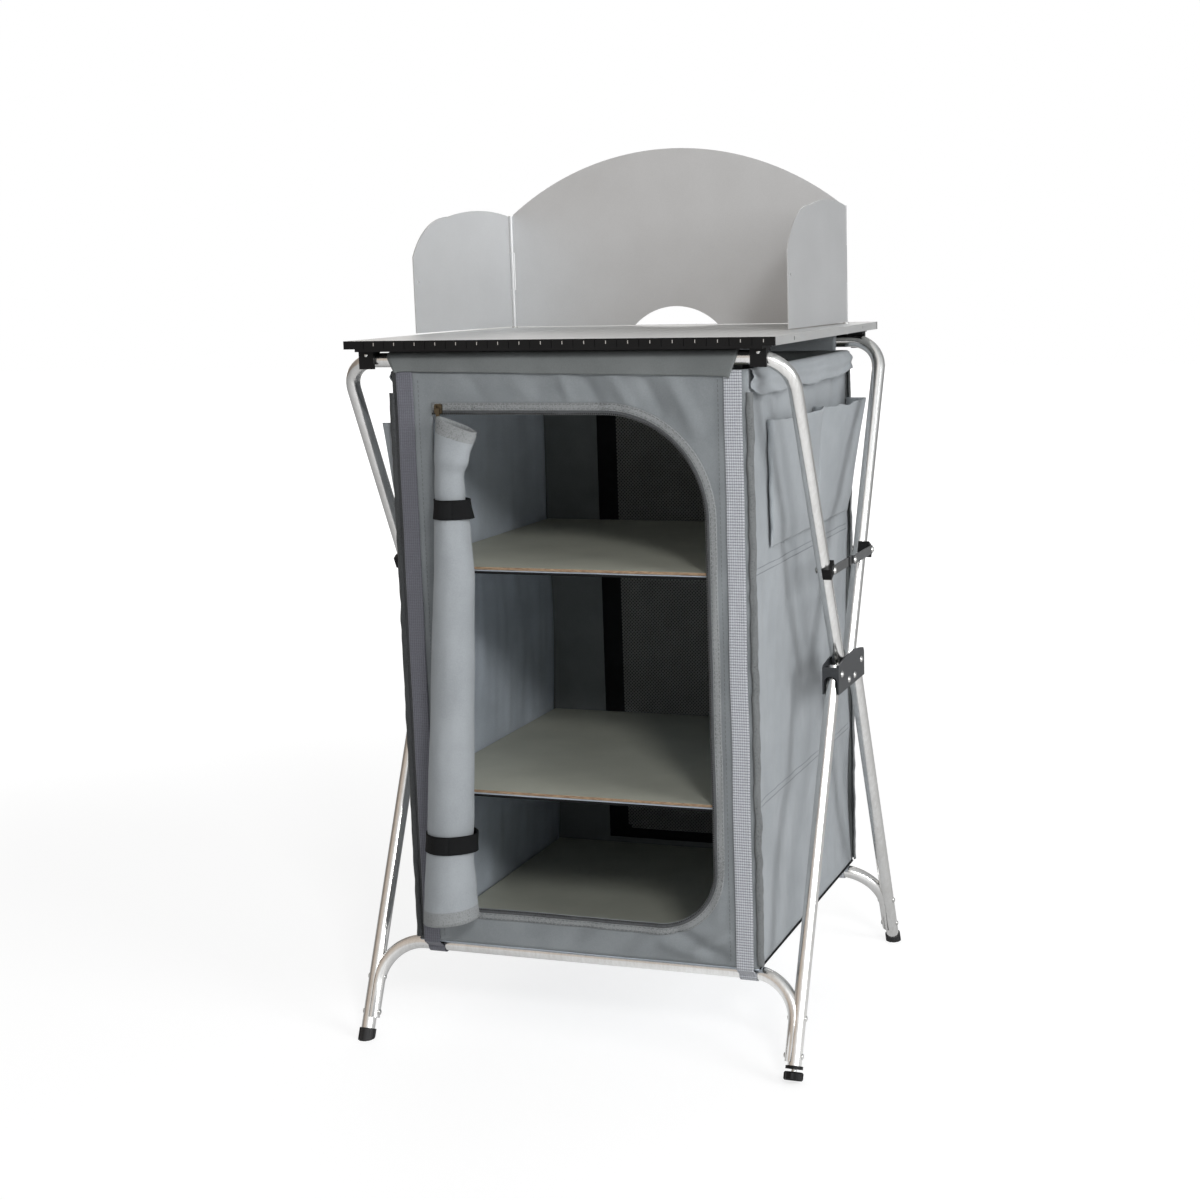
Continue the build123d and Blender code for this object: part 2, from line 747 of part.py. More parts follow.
def ribbon(curves, shift):
    """A face between a chain of curves and the same chain moved sideways."""
    start = curves[0] @ 0
    end = curves[-1] @ 1
    moved = [Pos(*shift) * curve for curve in curves]
    offset = Vector(*shift)
    closing = [Line(start, start + offset), Line(end, end + offset)]
    return make_face(curves + moved + closing)


def door_outline(margin):
    """The door opening, square at its left and round at its right, grown by a margin."""
    low, high = door_bottom - margin, door_top + margin
    width = door_right + margin - door_left
    face = Pos((door_left + door_right + margin) / 2, (low + high) / 2) * Rectangle(width, high - low)
    right = face.vertices().group_by(Axis.X)[-1].sort_by(Axis.Y)
    face = fillet(right[-1], radius=door_upper_corner + margin)
    right = face.vertices().group_by(Axis.Y)[0].sort_by(Axis.X)
    return fillet(right[-1], radius=door_lower_corner + margin)


def wall_sheet():
    """The outline of the front or the rear wall."""
    low = cupboard_floor + cloth + seat_gap
    centre = Pos(cupboard_shift, (low + cupboard_top) / 2)
    return centre * Rectangle(cupboard_width, cupboard_top - low)


def front_wall():
    """The front wall with its door opening."""
    return along(-wall_face, -wall_face + cloth, wall_sheet() - door_outline(0))


def rear_wall():
    """The rear wall, with an opening behind its mesh window."""
    low, high = cupboard_floor + window_margin, cupboard_top - window_margin
    opening = Pos(cupboard_shift, (low + high) / 2) * Rectangle(window_width, high - low)
    return along(wall_face - cloth, wall_face, wall_sheet() - opening)


def mesh_window():
    """The mesh panel with its black border, inside the rear wall."""
    grow = window_band
    low = cupboard_floor + window_margin - grow / 2
    high = cupboard_top - window_margin + grow / 2
    panel = Pos(cupboard_shift, (low + high) / 2) * Rectangle(window_width + 2 * grow, high - low)
    back = wall_face - cloth - seat_gap
    return along(back - cloth, back, panel)


def side_wall(hand):
    """A side wall that sags inwards between the shelf levels."""
    face_x = wall_right - cloth if hand > 0 else wall_left
    low = cupboard_floor + cloth + seat_gap
    levels = [low, middle_board_top, upper_board_top, cupboard_top]
    curves = []
    for bottom, top, sag in zip(levels, levels[1:], side_sags):
        middle = (face_x - hand * sag, (bottom + top) / 2)
        curves.append(ThreePointArc((face_x, bottom), middle, (face_x, top)))
    inset = cloth + seat_gap
    return along(-wall_face + inset, wall_face - inset, ribbon(curves, (cloth, 0)))


def cupboard_floor_panel():
    """The floor of the cupboard, which lies on both cross tubes."""
    return block((wall_left, -wall_face, cupboard_floor), (wall_right, wall_face, cupboard_floor + cloth))


def hammock(board_top):
    """The sewn-in cloth shelf under a board, with a corded hem at its front."""
    high = board_top - board_thickness - seat_gap
    inset = cloth + seat_gap
    left, right = wall_left + inset + seat_gap, wall_right - inset - seat_gap
    front, back = -wall_face + inset, wall_face - 2 * inset
    sheet = block((left, front, high - cloth), (right, back, high))
    hem = front + hammock_hem_radius
    drop = high - hammock_hem_radius
    return sheet + rod((left, hem, drop), (right, hem, drop), hammock_hem_radius)


def zip_tape():
    """The tape round the door opening that carries the fixed half of the zip."""
    band = door_outline(zip_tape_width) - door_outline(0)
    front = -wall_face - seat_gap
    return along(front - cloth, front, band)


def bar_sleeve(side):
    """The sleeve round a top bar, with the skirt that hangs from it."""
    centre = Pos(side * top_bar_y, top_bar_height)
    loop = centre * (Circle(sleeve_radius) - Circle(tube_radius + seat_gap))
    outer = top_bar_y + sleeve_radius
    skirt_height = top_bar_height - skirt_bottom
    place = Pos(side * (outer - sleeve_wall / 2), skirt_bottom + skirt_height / 2)
    loop += place * Rectangle(sleeve_wall, skirt_height)
    return across(-sleeve_length / 2, sleeve_length / 2, loop)


def webbing(side, hand):
    """A strap down one corner that loops round the cross tube."""
    inner_radius = tube_radius + webbing_loop_gap
    outer_radius = inner_radius + webbing_thickness
    bar = (side * bottom_bar_y, bottom_bar_height)
    turn_z = cupboard_floor - seat_gap
    top_z = cupboard_top - 1
    loop = Pos(*bar) * (Circle(outer_radius) - Circle(inner_radius))
    upper_half = Pos(bar[0], bar[1] + outer_radius) * Rectangle(3 * outer_radius, 2 * outer_radius)
    loop -= upper_half
    outer_y = side * webbing_face
    inner_y = side * (webbing_face - webbing_thickness)
    hook_outer = side * (bottom_bar_y + outer_radius)
    hook_inner = side * (bottom_bar_y + inner_radius)
    run = Polyline((outer_y, top_z), (outer_y, turn_z), (hook_outer, bar[1]), (hook_inner, bar[1]),
                   (inner_y, turn_z), (inner_y, top_z), close=True)
    tail_inner = side * (bottom_bar_y - inner_radius)
    tail_outer = side * (bottom_bar_y - outer_radius)
    tail = Polyline((tail_inner, bar[1]), (tail_outer, bar[1]), (tail_outer, turn_z),
                    (tail_inner, turn_z), close=True)
    face = make_face(run) + loop + make_face(tail)
    centre = webbing_shift + hand * webbing_spread / 2
    return across(centre - webbing_width / 2, centre + webbing_width / 2, face)


def pocket(hand, start, end, mouth_start, mouth_end):
    """An outside pocket, sewn flat at its foot and standing open at its mouth."""
    face_x = (wall_right if hand > 0 else wall_left) + hand * seat_gap
    foot = [(face_x, start), (face_x + hand * pocket_foot, start)]
    foot += [(face_x + hand * pocket_foot, end), (face_x, end)]
    mouth = [(face_x, start), (face_x + hand * mouth_start, start)]
    mouth += [(face_x + hand * mouth_end, end), (face_x, end)]
    shell = loft([Pos(0, 0, pocket_bottom) * make_face(Polyline(*foot, close=True)),
                  Pos(0, 0, pocket_top) * make_face(Polyline(*mouth, close=True))])
    seam = min(cloth, pocket_seam)
    low, high = start + seam, end - seam
    foot = [(face_x - hand, low), (face_x + hand * (pocket_foot - seam), low)]
    foot += [(face_x + hand * (pocket_foot - seam), high), (face_x - hand, high)]
    mouth = [(face_x - hand, low), (face_x + hand * (mouth_start - seam), low)]
    mouth += [(face_x + hand * (mouth_end - seam), high), (face_x - hand, high)]
    hollow = loft([Pos(0, 0, pocket_bottom) * make_face(Polyline(*foot, close=True)),
                   Pos(0, 0, pocket_top) * make_face(Polyline(*mouth, close=True))])
    floor = pocket_bottom + seam
    keep = block((-leg_span, -foot_span, floor), (leg_span, foot_span, pocket_top + 1))
    return shell - (hollow & keep)


def side_flap(hand):
    """The top of a side wall, folded over outwards."""
    face_x = (wall_right if hand > 0 else wall_left - cloth) + hand * seat_gap
    top = cupboard_top
    tip = (face_x + hand * flap_reach * flap_tip_share, top - flap_drop)
    swell = (face_x + hand * flap_reach, top - flap_drop * flap_swell_share)
    fold = ribbon([ThreePointArc((face_x, top), swell, tip)], (cloth, 0))
    return along(-flap_length / 2, flap_length / 2, fold)


roll_levels = [(roll_bottom, roll_foot_radius), (tie_heights[1] - tie_width, roll_shin_radius)]
roll_levels += [(roll_waist_height, roll_waist_radius)]
roll_levels += [(roll_pinch_height, roll_pinch_radius), (roll_top, roll_flare_radius)]
roll_back = -wall_face - cloth - 2 * seat_gap
roll_low = Vector(roll_bottom_place, roll_back - roll_foot_radius, roll_bottom)
roll_high = Vector(roll_top_place, roll_back - roll_flare_radius, roll_top)
roll_axis = Plane(origin=roll_low, z_dir=roll_high - roll_low)
roll_stretch = (roll_high - roll_low).length / (roll_top - roll_bottom)


def roll_radius(height):
    """The roll's radius at a height."""
    spans = list(zip(roll_levels, roll_levels[1:]))
    (low, low_radius), (high, high_radius) = next(span for span in spans if height <= span[1][0])
    return low_radius + (high_radius - low_radius) * (height - low) / (high - low)


def roll_layer(levels, radius):
    """A solid about the roll's axis, with the radius given at each level."""
    sections = []
    for height in levels:
        place = (height - roll_bottom) * roll_stretch
        sections.append(Pos(0, 0, place) * RegularPolygon(radius(height), roll_sides))
    return roll_axis * loft(sections, ruled=True)


def door_roll():
    """The door, rolled up and tied beside its opening."""
    return roll_layer([height for height, _ in roll_levels], roll_radius)


def door_tie(height):
    """A band round the roll with an overlapping tab at its front."""
    ends = [height - tie_width / 2, height + tie_width / 2]
    inner = roll_radius(ends[0]) + seat_gap
    band = roll_layer(ends, lambda _: inner + tie_wall) - roll_layer(ends, lambda _: inner)
    place = (height - roll_bottom) * roll_stretch
    tab = Pos(0, -inner - tie_wall, place) * Box(tie_tab, tie_wall, tie_width)
    return band + roll_axis * tab


save("cupboard_front_wall", front_wall())
save("cupboard_rear_wall", rear_wall())
save("cupboard_left_wall", side_wall(-1))
save("cupboard_right_wall", side_wall(1))
save("cupboard_floor", cupboard_floor_panel())
save("mesh_window", mesh_window())
save("shelf_hammocks", hammock(middle_board_top), hammock(upper_board_top))
save("door_zip_tape", zip_tape())
save("front_bar_sleeve", bar_sleeve(-1))
save("rear_bar_sleeve", bar_sleeve(1))
save("webbing_straps", *[webbing(side, hand) for side in (-1, 1) for hand in (-1, 1)])
mouths = (pocket_mouth_front, pocket_mouth_rear)
save("pocket_right_front", pocket(1, pocket_start, pocket_middle - seat_gap, mouths[0], mouths[0]))
save("pocket_right_rear", pocket(1, pocket_middle, pocket_end, mouths[0], mouths[1]))
left_front = pocket(-1, -pocket_end, -pocket_middle, pocket_mouth_left, mouths[0])
left_rear = pocket(-1, seat_gap - pocket_middle, -pocket_start, mouths[0], mouths[0])
save("side_pockets_left", left_front, left_rear)
save("side_flaps", side_flap(-1), side_flap(1))
save("door_roll", door_roll())
save("door_ties", *[door_tie(height) for height in tie_heights])


# boards

def board(top):
    """A loose shelf board."""
    left, right = wall_left + board_side_gap, wall_right - board_side_gap
    front, back = -wall_face + board_end_gap, wall_face - board_end_gap - cloth
    return block((left, front, top - board_thickness), (right, back, top))


save("shelf_board_lower", board(floor_board_top))
save("shelf_board_middle", board(middle_board_top))
save("shelf_board_upper", board(upper_board_top))


# zip slider, parked at the left end of the door's top run

tape_front = -wall_face - seat_gap - cloth
slider_x = door_left + slider_width
slider_z = door_top + zip_tape_width / 2
pull_axis_y = tape_front - seat_gap - slider_thickness


def pull_bar(reach, radius):
    """A bar along the pull's axis, to either side of the slider's middle."""
    return rod((slider_x - reach, pull_axis_y, slider_z), (slider_x + reach, pull_axis_y, slider_z), radius)


def zip_slider():
    """The slider, with a bridge for its pull."""
    back = tape_front - seat_gap
    body = block((slider_x - slider_width / 2, back - slider_thickness, slider_z - slider_height / 2),
                 (slider_x + slider_width / 2, back, slider_z + slider_height / 2))
    body = fillet(body.edges().filter_by(Axis.Y), radius=slider_width / 4)
    reach, depth = pull_width / 2, 2 * pull_ring_radius
    room = block((slider_x - reach, pull_axis_y - pull_room, slider_z - pull_room),
                 (slider_x + reach, pull_axis_y + depth, slider_z + pull_room))
    return (body - room) + pull_bar(slider_width / 2, pull_ring_radius)


def zip_pull():
    """The pull tab, with an eye round the slider's bar."""
    inner = pull_ring_radius + pin_clearance
    half = pull_width / 2 - pin_clearance
    eye = pull_bar(half, inner + pull_thickness / 2) - pull_bar(half, inner)
    front = pull_axis_y - inner - pull_thickness / 2
    back = front + pull_thickness
    tab = block((slider_x - half, front, slider_z - pull_length), (slider_x + half, back, slider_z))
    tab -= pull_bar(slider_width, inner + pull_thickness / 4)
    hole_z = slider_z - pull_length + pull_width
    ends = [(slider_x, y, hole_z) for y in (front - pull_thickness, back + pull_thickness)]
    tab -= rod(*ends, pull_hole_radius)
    return eye + tab


save("zip_slider", zip_slider())
save("zip_pull", zip_pull())

print("upper fold angle", round(degrees(upper_lean), 3))
print("lower fold angle", round(degrees(lower_lean), 3))
print("stay pivots", round(stay_y, 3), round(stay_height, 3))
print("hinge pins", hinge_x, hinge_y)
print("foot points", foot_y, round(knob_end, 3))
print("bottom bar", round(bottom_bar_y, 3))
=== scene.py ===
import bmesh
import bpy
from math import atan2, cos, exp, hypot, pi, radians, sin
from mathutils import Matrix, Vector, noise


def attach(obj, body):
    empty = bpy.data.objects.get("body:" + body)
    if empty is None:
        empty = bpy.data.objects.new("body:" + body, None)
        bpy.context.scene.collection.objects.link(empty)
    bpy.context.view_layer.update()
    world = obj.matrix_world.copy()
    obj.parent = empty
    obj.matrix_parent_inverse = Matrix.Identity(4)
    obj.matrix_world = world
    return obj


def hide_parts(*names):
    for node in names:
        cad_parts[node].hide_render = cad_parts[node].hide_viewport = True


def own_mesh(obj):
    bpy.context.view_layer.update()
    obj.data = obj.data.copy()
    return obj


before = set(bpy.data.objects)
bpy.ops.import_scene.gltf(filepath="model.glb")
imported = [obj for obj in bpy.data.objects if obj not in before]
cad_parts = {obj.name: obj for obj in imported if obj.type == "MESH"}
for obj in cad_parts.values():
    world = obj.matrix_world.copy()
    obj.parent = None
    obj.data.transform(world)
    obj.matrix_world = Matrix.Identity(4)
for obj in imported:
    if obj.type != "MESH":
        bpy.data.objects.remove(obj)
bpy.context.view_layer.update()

mm = 0.001  # all piece sizes below are in millimetres, the frame is in metres


class Wire:
    # one node output that reads like a number in an expression
    def __init__(self, nodes, socket):
        self.nodes, self.socket = nodes, socket

    def maths(self, operation, *others):
        values = dict(enumerate((self, *others)))
        return self.nodes.node("ShaderNodeMath", {"operation": operation}, values)

    def __add__(self, other):
        return self.maths("ADD", other)

    def __sub__(self, other):
        return self.maths("SUBTRACT", other)

    def __rsub__(self, other):
        return self.nodes.node("ShaderNodeMath", {"operation": "SUBTRACT"}, {0: other, 1: self})

    def __mul__(self, other):
        return self.maths("MULTIPLY", other)

    def __truediv__(self, other):
        return self.maths("DIVIDE", other)

    def __lt__(self, other):
        return self.maths("LESS_THAN", other)

    __radd__ = __add__
    __rmul__ = __mul__

    def sin(self):
        return self.maths("SINE")

    def abs(self):
        return self.maths("ABSOLUTE")

    def between(self, low, high):
        # 0 at low and 1 at high, held outside
        return self.nodes.node("ShaderNodeMapRange", {"interpolation_type": "SMOOTHSTEP"},
                               {"Value": self, "From Min": low, "From Max": high})


def tone(red, green, blue):
    # a colour as a picture editor shows it, turned into the renderer's own
    parts = [value / 255 for value in (red, green, blue)]
    linear = [part / 12.92 if part < 0.04045 else ((part + 0.055) / 1.055) ** 2.4 for part in parts]
    return (*linear, 1.0)


class Nodes:
    # the node tree of a material or of the world
    def __init__(self, owner):
        owner.use_nodes = True
        self.tree = owner.node_tree
        self.tree.nodes.clear()

    def plug(self, socket, value):
        if isinstance(value, Wire):
            self.tree.links.new(value.socket, socket)
        else:
            socket.default_value = value

    def node(self, kind, settings=None, sockets=None, output=0):
        made = self.tree.nodes.new(kind)
        for key, value in (settings or {}).items():
            setattr(made, key, value)
        for key, value in (sockets or {}).items():
            self.plug(made.inputs[key], value)
        return Wire(self, made.outputs[output])

    def place(self):
        return self.node("ShaderNodeTexCoord", output="Object")

    def cut(self):
        return self.node("ShaderNodeUVMap", {"uv_map": "cut"})

    def ray(self, kind):
        return self.node("ShaderNodeLightPath", output=f"Is {kind} Ray")

    def parts(self, vector):
        split = self.node("ShaderNodeSeparateXYZ", {}, {0: vector}).socket.node
        return [Wire(self, socket) for socket in split.outputs]

    def stretched(self, vector, stretch):
        return self.node("ShaderNodeMapping", {}, {"Vector": vector, "Scale": stretch})

    def cloud(self, vector, size, detail=3.0, rough=0.55):
        # soft noise from 0 to 1 whose blotches are about size millimetres wide
        sockets = {"Vector": vector, "Scale": 1 / (size * mm), "Detail": detail, "Roughness": rough}
        return self.node("ShaderNodeTexNoise", {}, sockets)

    def blend(self, share, first, second):
        sockets = {0: share, 6: first, 7: second}
        return self.node("ShaderNodeMix", {"data_type": "RGBA"}, sockets, 2)

    def bump(self, height, strength, distance, under=None):
        sockets = {"Height": height, "Strength": strength, "Distance": distance}
        if under:
            sockets["Normal"] = under
        return self.node("ShaderNodeBump", {}, sockets)


class Paint(Nodes):
    # a material with one surface shader, whose sockets are set by their names
    def __init__(self, name, **fixed):
        self.material = bpy.data.materials.new(name)
        super().__init__(self.material)
        self.shader = self.tree.nodes.new("ShaderNodeBsdfPrincipled")
        self.out = self.tree.nodes.new("ShaderNodeOutputMaterial")
        self.tree.links.new(self.shader.outputs[0], self.out.inputs[0])
        self.set(**fixed)

    def set(self, **sockets):
        for name, value in sockets.items():
            self.plug(self.shader.inputs[name.replace("_", " ")], value)


print("stage: finishes")


def clothPaint(name, light, dark, pitch=0.75, relief=0.00018, sheen=0.1, marl=0.0, gloss=0.4):
    # coated polyester: fine basket weave, faint blotches and soft creases
    paint = Paint(name, Metallic=0.0, Sheen_Weight=sheen, Sheen_Roughness=0.45, Specular_IOR_Level=gloss)
    place = paint.place()
    u, v, _ = paint.parts(paint.cut())
    rate = 2 * pi / (pitch * mm)
    weave = (u * rate).sin() * (v * rate).sin()
    blotch = paint.cloud(place, 70, 4)
    grain = paint.cloud(place, 1.6, 2)
    crease = paint.cloud(paint.stretched(place, (1, 1, 0.35)), 24, 3)
    share = (blotch * 0.7 + grain * (0.3 + marl)).between(0.32, 0.68 + marl * 0.4)
    paint.set(Base_Color=paint.blend(share, dark, light), Roughness=grain * 0.14 + 0.71)
    soft = paint.bump(crease, 0.35, 0.0016)
    paint.set(Normal=paint.bump(weave * 0.5 + grain * 0.6, 0.55, relief, soft))
    return paint


ribbon = {"pitch": 1.1, "relief": 0.0005}  # woven tape, coarser than the cloth
greyCloth = clothPaint("greyCloth", tone(160, 165, 169), tone(147, 152, 156))
# painted shade: the front's cloth is the grey cloth made darker, for the shade the front stands in
shadedFrontCloth = clothPaint("shadedFrontCloth", tone(140, 145, 148), tone(126, 131, 134))
# painted light: the cloth's bluish inside, made much lighter than the outside to stand in for light shining
# through the walls
paintedLightLining = clothPaint("paintedLightLining", tone(199, 208, 218), tone(181, 190, 200))
# painted shade: a darker copy of the grey cloth, for the front sleeve in the shade under the top and the rear
# wall's inside in the shade at the back
shadedSleeveCloth = clothPaint("shadedSleeveCloth", tone(120, 124, 124), tone(106, 110, 110))
tapeCloth = clothPaint("tapeCloth", tone(146, 149, 150), tone(74, 76, 77), marl=0.9, **ribbon)
zipCloth = clothPaint("zipCloth", tone(82, 84, 86), tone(44, 46, 48), marl=0.7, **ribbon)
bindingCloth = clothPaint("bindingCloth", tone(112, 115, 116), tone(46, 48, 49), marl=0.9, **ribbon)
# painted shade: a darker copy of the marled binding for the left corner's binding and lap, which lie in shade
paintedShadeBinding = clothPaint("paintedShadeBinding", tone(70, 72, 74), tone(38, 40, 41), marl=0.7, **ribbon)
blackCloth = clothPaint("blackCloth", tone(21, 22, 24), tone(11, 12, 13), 0.9, 0.0003, sheen=0.0, gloss=0.2)
threadPaint = clothPaint("thread", tone(118, 122, 125), tone(92, 95, 98), relief=0.0001)


def meshPaint():
    # dark knitted mesh: rows of small round holes set like bricks
    paint = Paint("windowMesh", Metallic=0.0, Roughness=0.7, Sheen_Weight=0.1)
    u, v, _ = paint.parts(paint.cut())
    rate = 2 * pi / (4.6 * mm)
    dots = ((u * rate).sin() * (v * rate).sin()).between(0.08, 0.4)
    grain = paint.cloud(paint.place(), 30, 2)
    thread = paint.blend(grain, tone(112, 113, 110), tone(134, 135, 131))
    paint.set(Base_Color=paint.blend(dots, thread, tone(14, 14, 14)))
    paint.set(Normal=paint.bump(1 - dots, 0.8, 0.0006))
    return paint


ribPitch = 3.1  # millimetres from rib to rib of the webbing, in its mesh and in its shader


def webbingPaint(name, light, dark, contrast):
    # ribbed strap, its ribs moulded in the mesh and its yarn in the shader
    paint = Paint(name, Metallic=0.0, Roughness=0.75, Sheen_Weight=0.25, Sheen_Roughness=0.4)
    u, v, _ = paint.parts(paint.cut())
    ribs = (v * (2 * pi / (ribPitch * mm))).sin().between(-0.7, 0.6)
    yarns = (u * (2 * pi / (2.5 * mm))).sin()
    grain = paint.cloud(paint.place(), 1.2, 2)
    shade = (ribs * contrast + yarns * 0.16 + grain * 0.45 + (0.3 - contrast * 0.5)).between(0.1, 0.95)
    paint.set(Base_Color=paint.blend(shade, dark, light))
    paint.set(Normal=paint.bump(yarns * 0.4 + ribs * 0.5 + grain * 0.4, 0.7, 0.0004))
    return paint


pressMark = {"x": 0.2535, "y": 0.1925, "z": 0.768, "width": 0.006, "depth": 0.009, "height": 0.011}  # metres


def tubePaint():
    # polished tube: drawn streaks along it, faint dulling and the press marks by its upper bends
    paint = Paint("polishedTube", Metallic=1.0)
    place = paint.place()
    streaks = paint.cloud(paint.stretched(place, (1, 1, 0.02)), 3.0, 2)
    dull = paint.cloud(place, 45, 3)
    share = (streaks * 0.5 + dull * 0.5).between(0.3, 0.7)
    paint.set(Base_Color=paint.blend(share, tone(222, 221, 219), tone(236, 236, 235)))
    paint.set(Roughness=(dull * 0.08 + streaks * 0.03 + 0.17))
    x, y, z = paint.parts(place)
    across = (x.abs() - pressMark["x"]) / pressMark["width"]
    along = (z - pressMark["z"]) / pressMark["height"]
    dimple = 0
    for side in (-1, 1):
        depth = (y * side - pressMark["y"]) / pressMark["depth"]
        far = across * across + along * along + depth * depth
        dimple = (1 - far.between(0.0, 1.0)) + dimple
    paint.set(Normal=paint.bump(dimple * -1.0 + streaks * 0.004, 0.9, 0.0012))
    return paint


def brushedPaint(name, light, dark, rough, metallic=1.0, stretch=(1, 1, 1), relief=0.0001, grain=0.6):
    # sheet or section metal with a drawn or brushed grain
    paint = Paint(name, Metallic=metallic)
    place = paint.place()
    lines = paint.cloud(paint.stretched(place, stretch), grain, 3)
    blotch = paint.cloud(place, 60, 3)
    paint.set(Base_Color=paint.blend((lines * 0.5 + blotch * 0.5).between(0.3, 0.7), dark, light))
    paint.set(Roughness=(lines * 0.12 + blotch * 0.08 + rough - 0.1))
    paint.set(Normal=paint.bump(lines, 0.4, relief))
    return paint


def paintedPaint(name, light, dark, worn, rough, grain=0.9, gloss=0.5):
    # sprayed or moulded skin: fine orange peel, soft blotches, lighter rubbed spots
    paint = Paint(name, Metallic=0.0, Specular_IOR_Level=gloss)
    place = paint.place()
    peel = paint.cloud(place, grain, 2)
    blotch = paint.cloud(place, 35, 4)
    rubbed = paint.cloud(place, 9, 5, 0.7).between(0.66, 0.78)
    base = paint.blend(blotch.between(0.3, 0.7), dark, light)
    paint.set(Base_Color=paint.blend(rubbed * 0.35, base, worn))
    paint.set(Roughness=(peel * 0.12 + blotch * 0.12 + rough - 0.12))
    paint.set(Normal=paint.bump(peel, 0.5, 0.00012))
    return paint


def boardPaint():
    # painted hardboard: grey-green faces, bare tan edges with darker layers
    paint = Paint("shelfBoard", Metallic=0.0, Specular_IOR_Level=0.35)
    place = paint.place()
    _, _, up = paint.parts(paint.node("ShaderNodeNewGeometry", output="Normal"))
    edge = up.abs() < 0.5
    blotch = paint.cloud(place, 80, 4)
    grain = paint.cloud(place, 1.1, 2)
    fibre = paint.cloud(paint.stretched(place, (1, 1, 12)), 6, 4)
    spots = (blotch * 0.7 + grain * 0.3).between(0.3, 0.7)
    face = paint.blend(spots, tone(166, 167, 155), tone(178, 179, 166))
    rim = paint.blend(fibre.between(0.35, 0.65), tone(128, 104, 82), tone(176, 150, 122))
    paint.set(Base_Color=paint.blend(edge, face, rim), Roughness=(grain * 0.15 + 0.5))
    paint.set(Normal=paint.bump(grain, 0.4, 0.00015))
    return paint


windowMesh = meshPaint()
webbing = webbingPaint("webbing", tone(201, 204, 210), tone(134, 136, 142), 0.42)
# painted shade: the left straps' webbing, far darker than the right for the shadow of the rolled door on the
# front one; its fainter ribs are the strap's own
plainShadedWebbing = webbingPaint("plainShadedWebbing", tone(118, 119, 128), tone(92, 93, 101), 0.12)
polishedTube = tubePaint()
slatMetal = brushedPaint("slatMetal", tone(204, 205, 204), tone(194, 195, 195), 0.42, 0.6, (1, 0.02, 1))
shieldMetal = brushedPaint("shieldMetal", tone(206, 207, 208), tone(200, 201, 202), 0.48, 0.62,
                           relief=0.00003, grain=1.5)
rivetSteel = brushedPaint("rivetSteel", tone(222, 222, 220), tone(196, 196, 194), 0.26)
bracketPaint = paintedPaint("bracketPaint", tone(58, 60, 63), tone(46, 48, 51), tone(104, 106, 108), 0.42)
stayPaint = paintedPaint("stayPaint", tone(82, 83, 84), tone(66, 67, 68), tone(120, 120, 120), 0.36)
blackPlastic = paintedPaint("blackPlastic", tone(15, 15, 16), tone(9, 9, 10), tone(48, 48, 49), 0.5, 0.7,
                            gloss=0.22)
footRubber = paintedPaint("footRubber", tone(34, 34, 35), tone(22, 22, 23), tone(70, 70, 70), 0.62, 0.6)
brassMetal = brushedPaint("brassMetal", tone(118, 106, 86), tone(72, 64, 52), 0.45)
elasticPaint = paintedPaint("elastic", tone(36, 36, 38), tone(24, 24, 26), tone(60, 60, 60), 0.8)
shelfBoard = boardPaint()

# the finish of each node of the frame, by a word of its name
nodeFinishes = {
    "_frame": polishedTube, "lower_": polishedTube, "hub_bracket": bracketPaint, "rivet": rivetSteel,
    "foot_cap": footRubber, "levelling_socket": blackPlastic, "levelling_stud": rivetSteel,
    "levelling_knob": blackPlastic, "stay_saddles": blackPlastic, "stay_link": stayPaint,
    "stay_collar": blackPlastic, "top_slats": slatMetal, "slat_end_caps": blackPlastic,
    "elastic_cords": elasticPaint, "top_rails": blackPlastic, "shield_panel": shieldMetal,
    "shield_wing": shieldMetal, "shield_hinge_pins": rivetSteel, "shelf_board": shelfBoard,
    "zip_": brassMetal,
}
for node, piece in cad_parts.items():
    for word, finish in nodeFinishes.items():
        if word in node:
            piece.data.materials.clear()
            piece.data.materials.append(finish.material)
            break


hands = {-1: "left", 1: "right"}
sides = {-1: "front", 1: "rear"}


def addObject(name, data):
    made = bpy.data.objects.new(name, data)
    bpy.context.scene.collection.objects.link(made)
    return made


def newPiece(bm, name, finishes, smooth=True):
    # a bmesh made an object that sits at the origin
    mesh = bpy.data.meshes.new(name)
    bm.to_mesh(mesh)
    bm.free()
    for finish in finishes:
        mesh.materials.append(finish.material)
    mesh.polygons.foreach_set("use_smooth", [smooth] * len(mesh.polygons))
    return addObject(name, mesh)


def smoothSkin(node, body):
    # the tube as the frame gives it, its facets welded into one smooth skin
    bm = bmesh.new()
    bm.from_mesh(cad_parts[node].data)
    bmesh.ops.remove_doubles(bm, verts=bm.verts, dist=0.01 * mm)
    first, *rest = node.split("_")
    piece = newPiece(bm, first + "".join(word.title() for word in rest) + "Skin", [polishedTube])
    piece.data.set_sharp_from_angle(angle=radians(34))
    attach(piece, body)
    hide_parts(node)


for name in sides.values():
    smoothSkin(f"upper_{name}_frame", f"upper_{name}")
    for part in ("cross_tube", "leg_left", "leg_right"):
        smoothSkin(f"lower_{name}_{part}", f"lower_{name}")


def wave(x, y, z=0.0):
    # smooth noise round 0
    return noise.noise(Vector((x, y, z)))


def bell(value, centre, width):
    return exp(-((value - centre) / width) ** 2)


def eased(gap, reach):
    # 0 at the seam that holds the cloth, 1 from reach millimetres on
    return max(0.0, min(1.0, gap / reach))


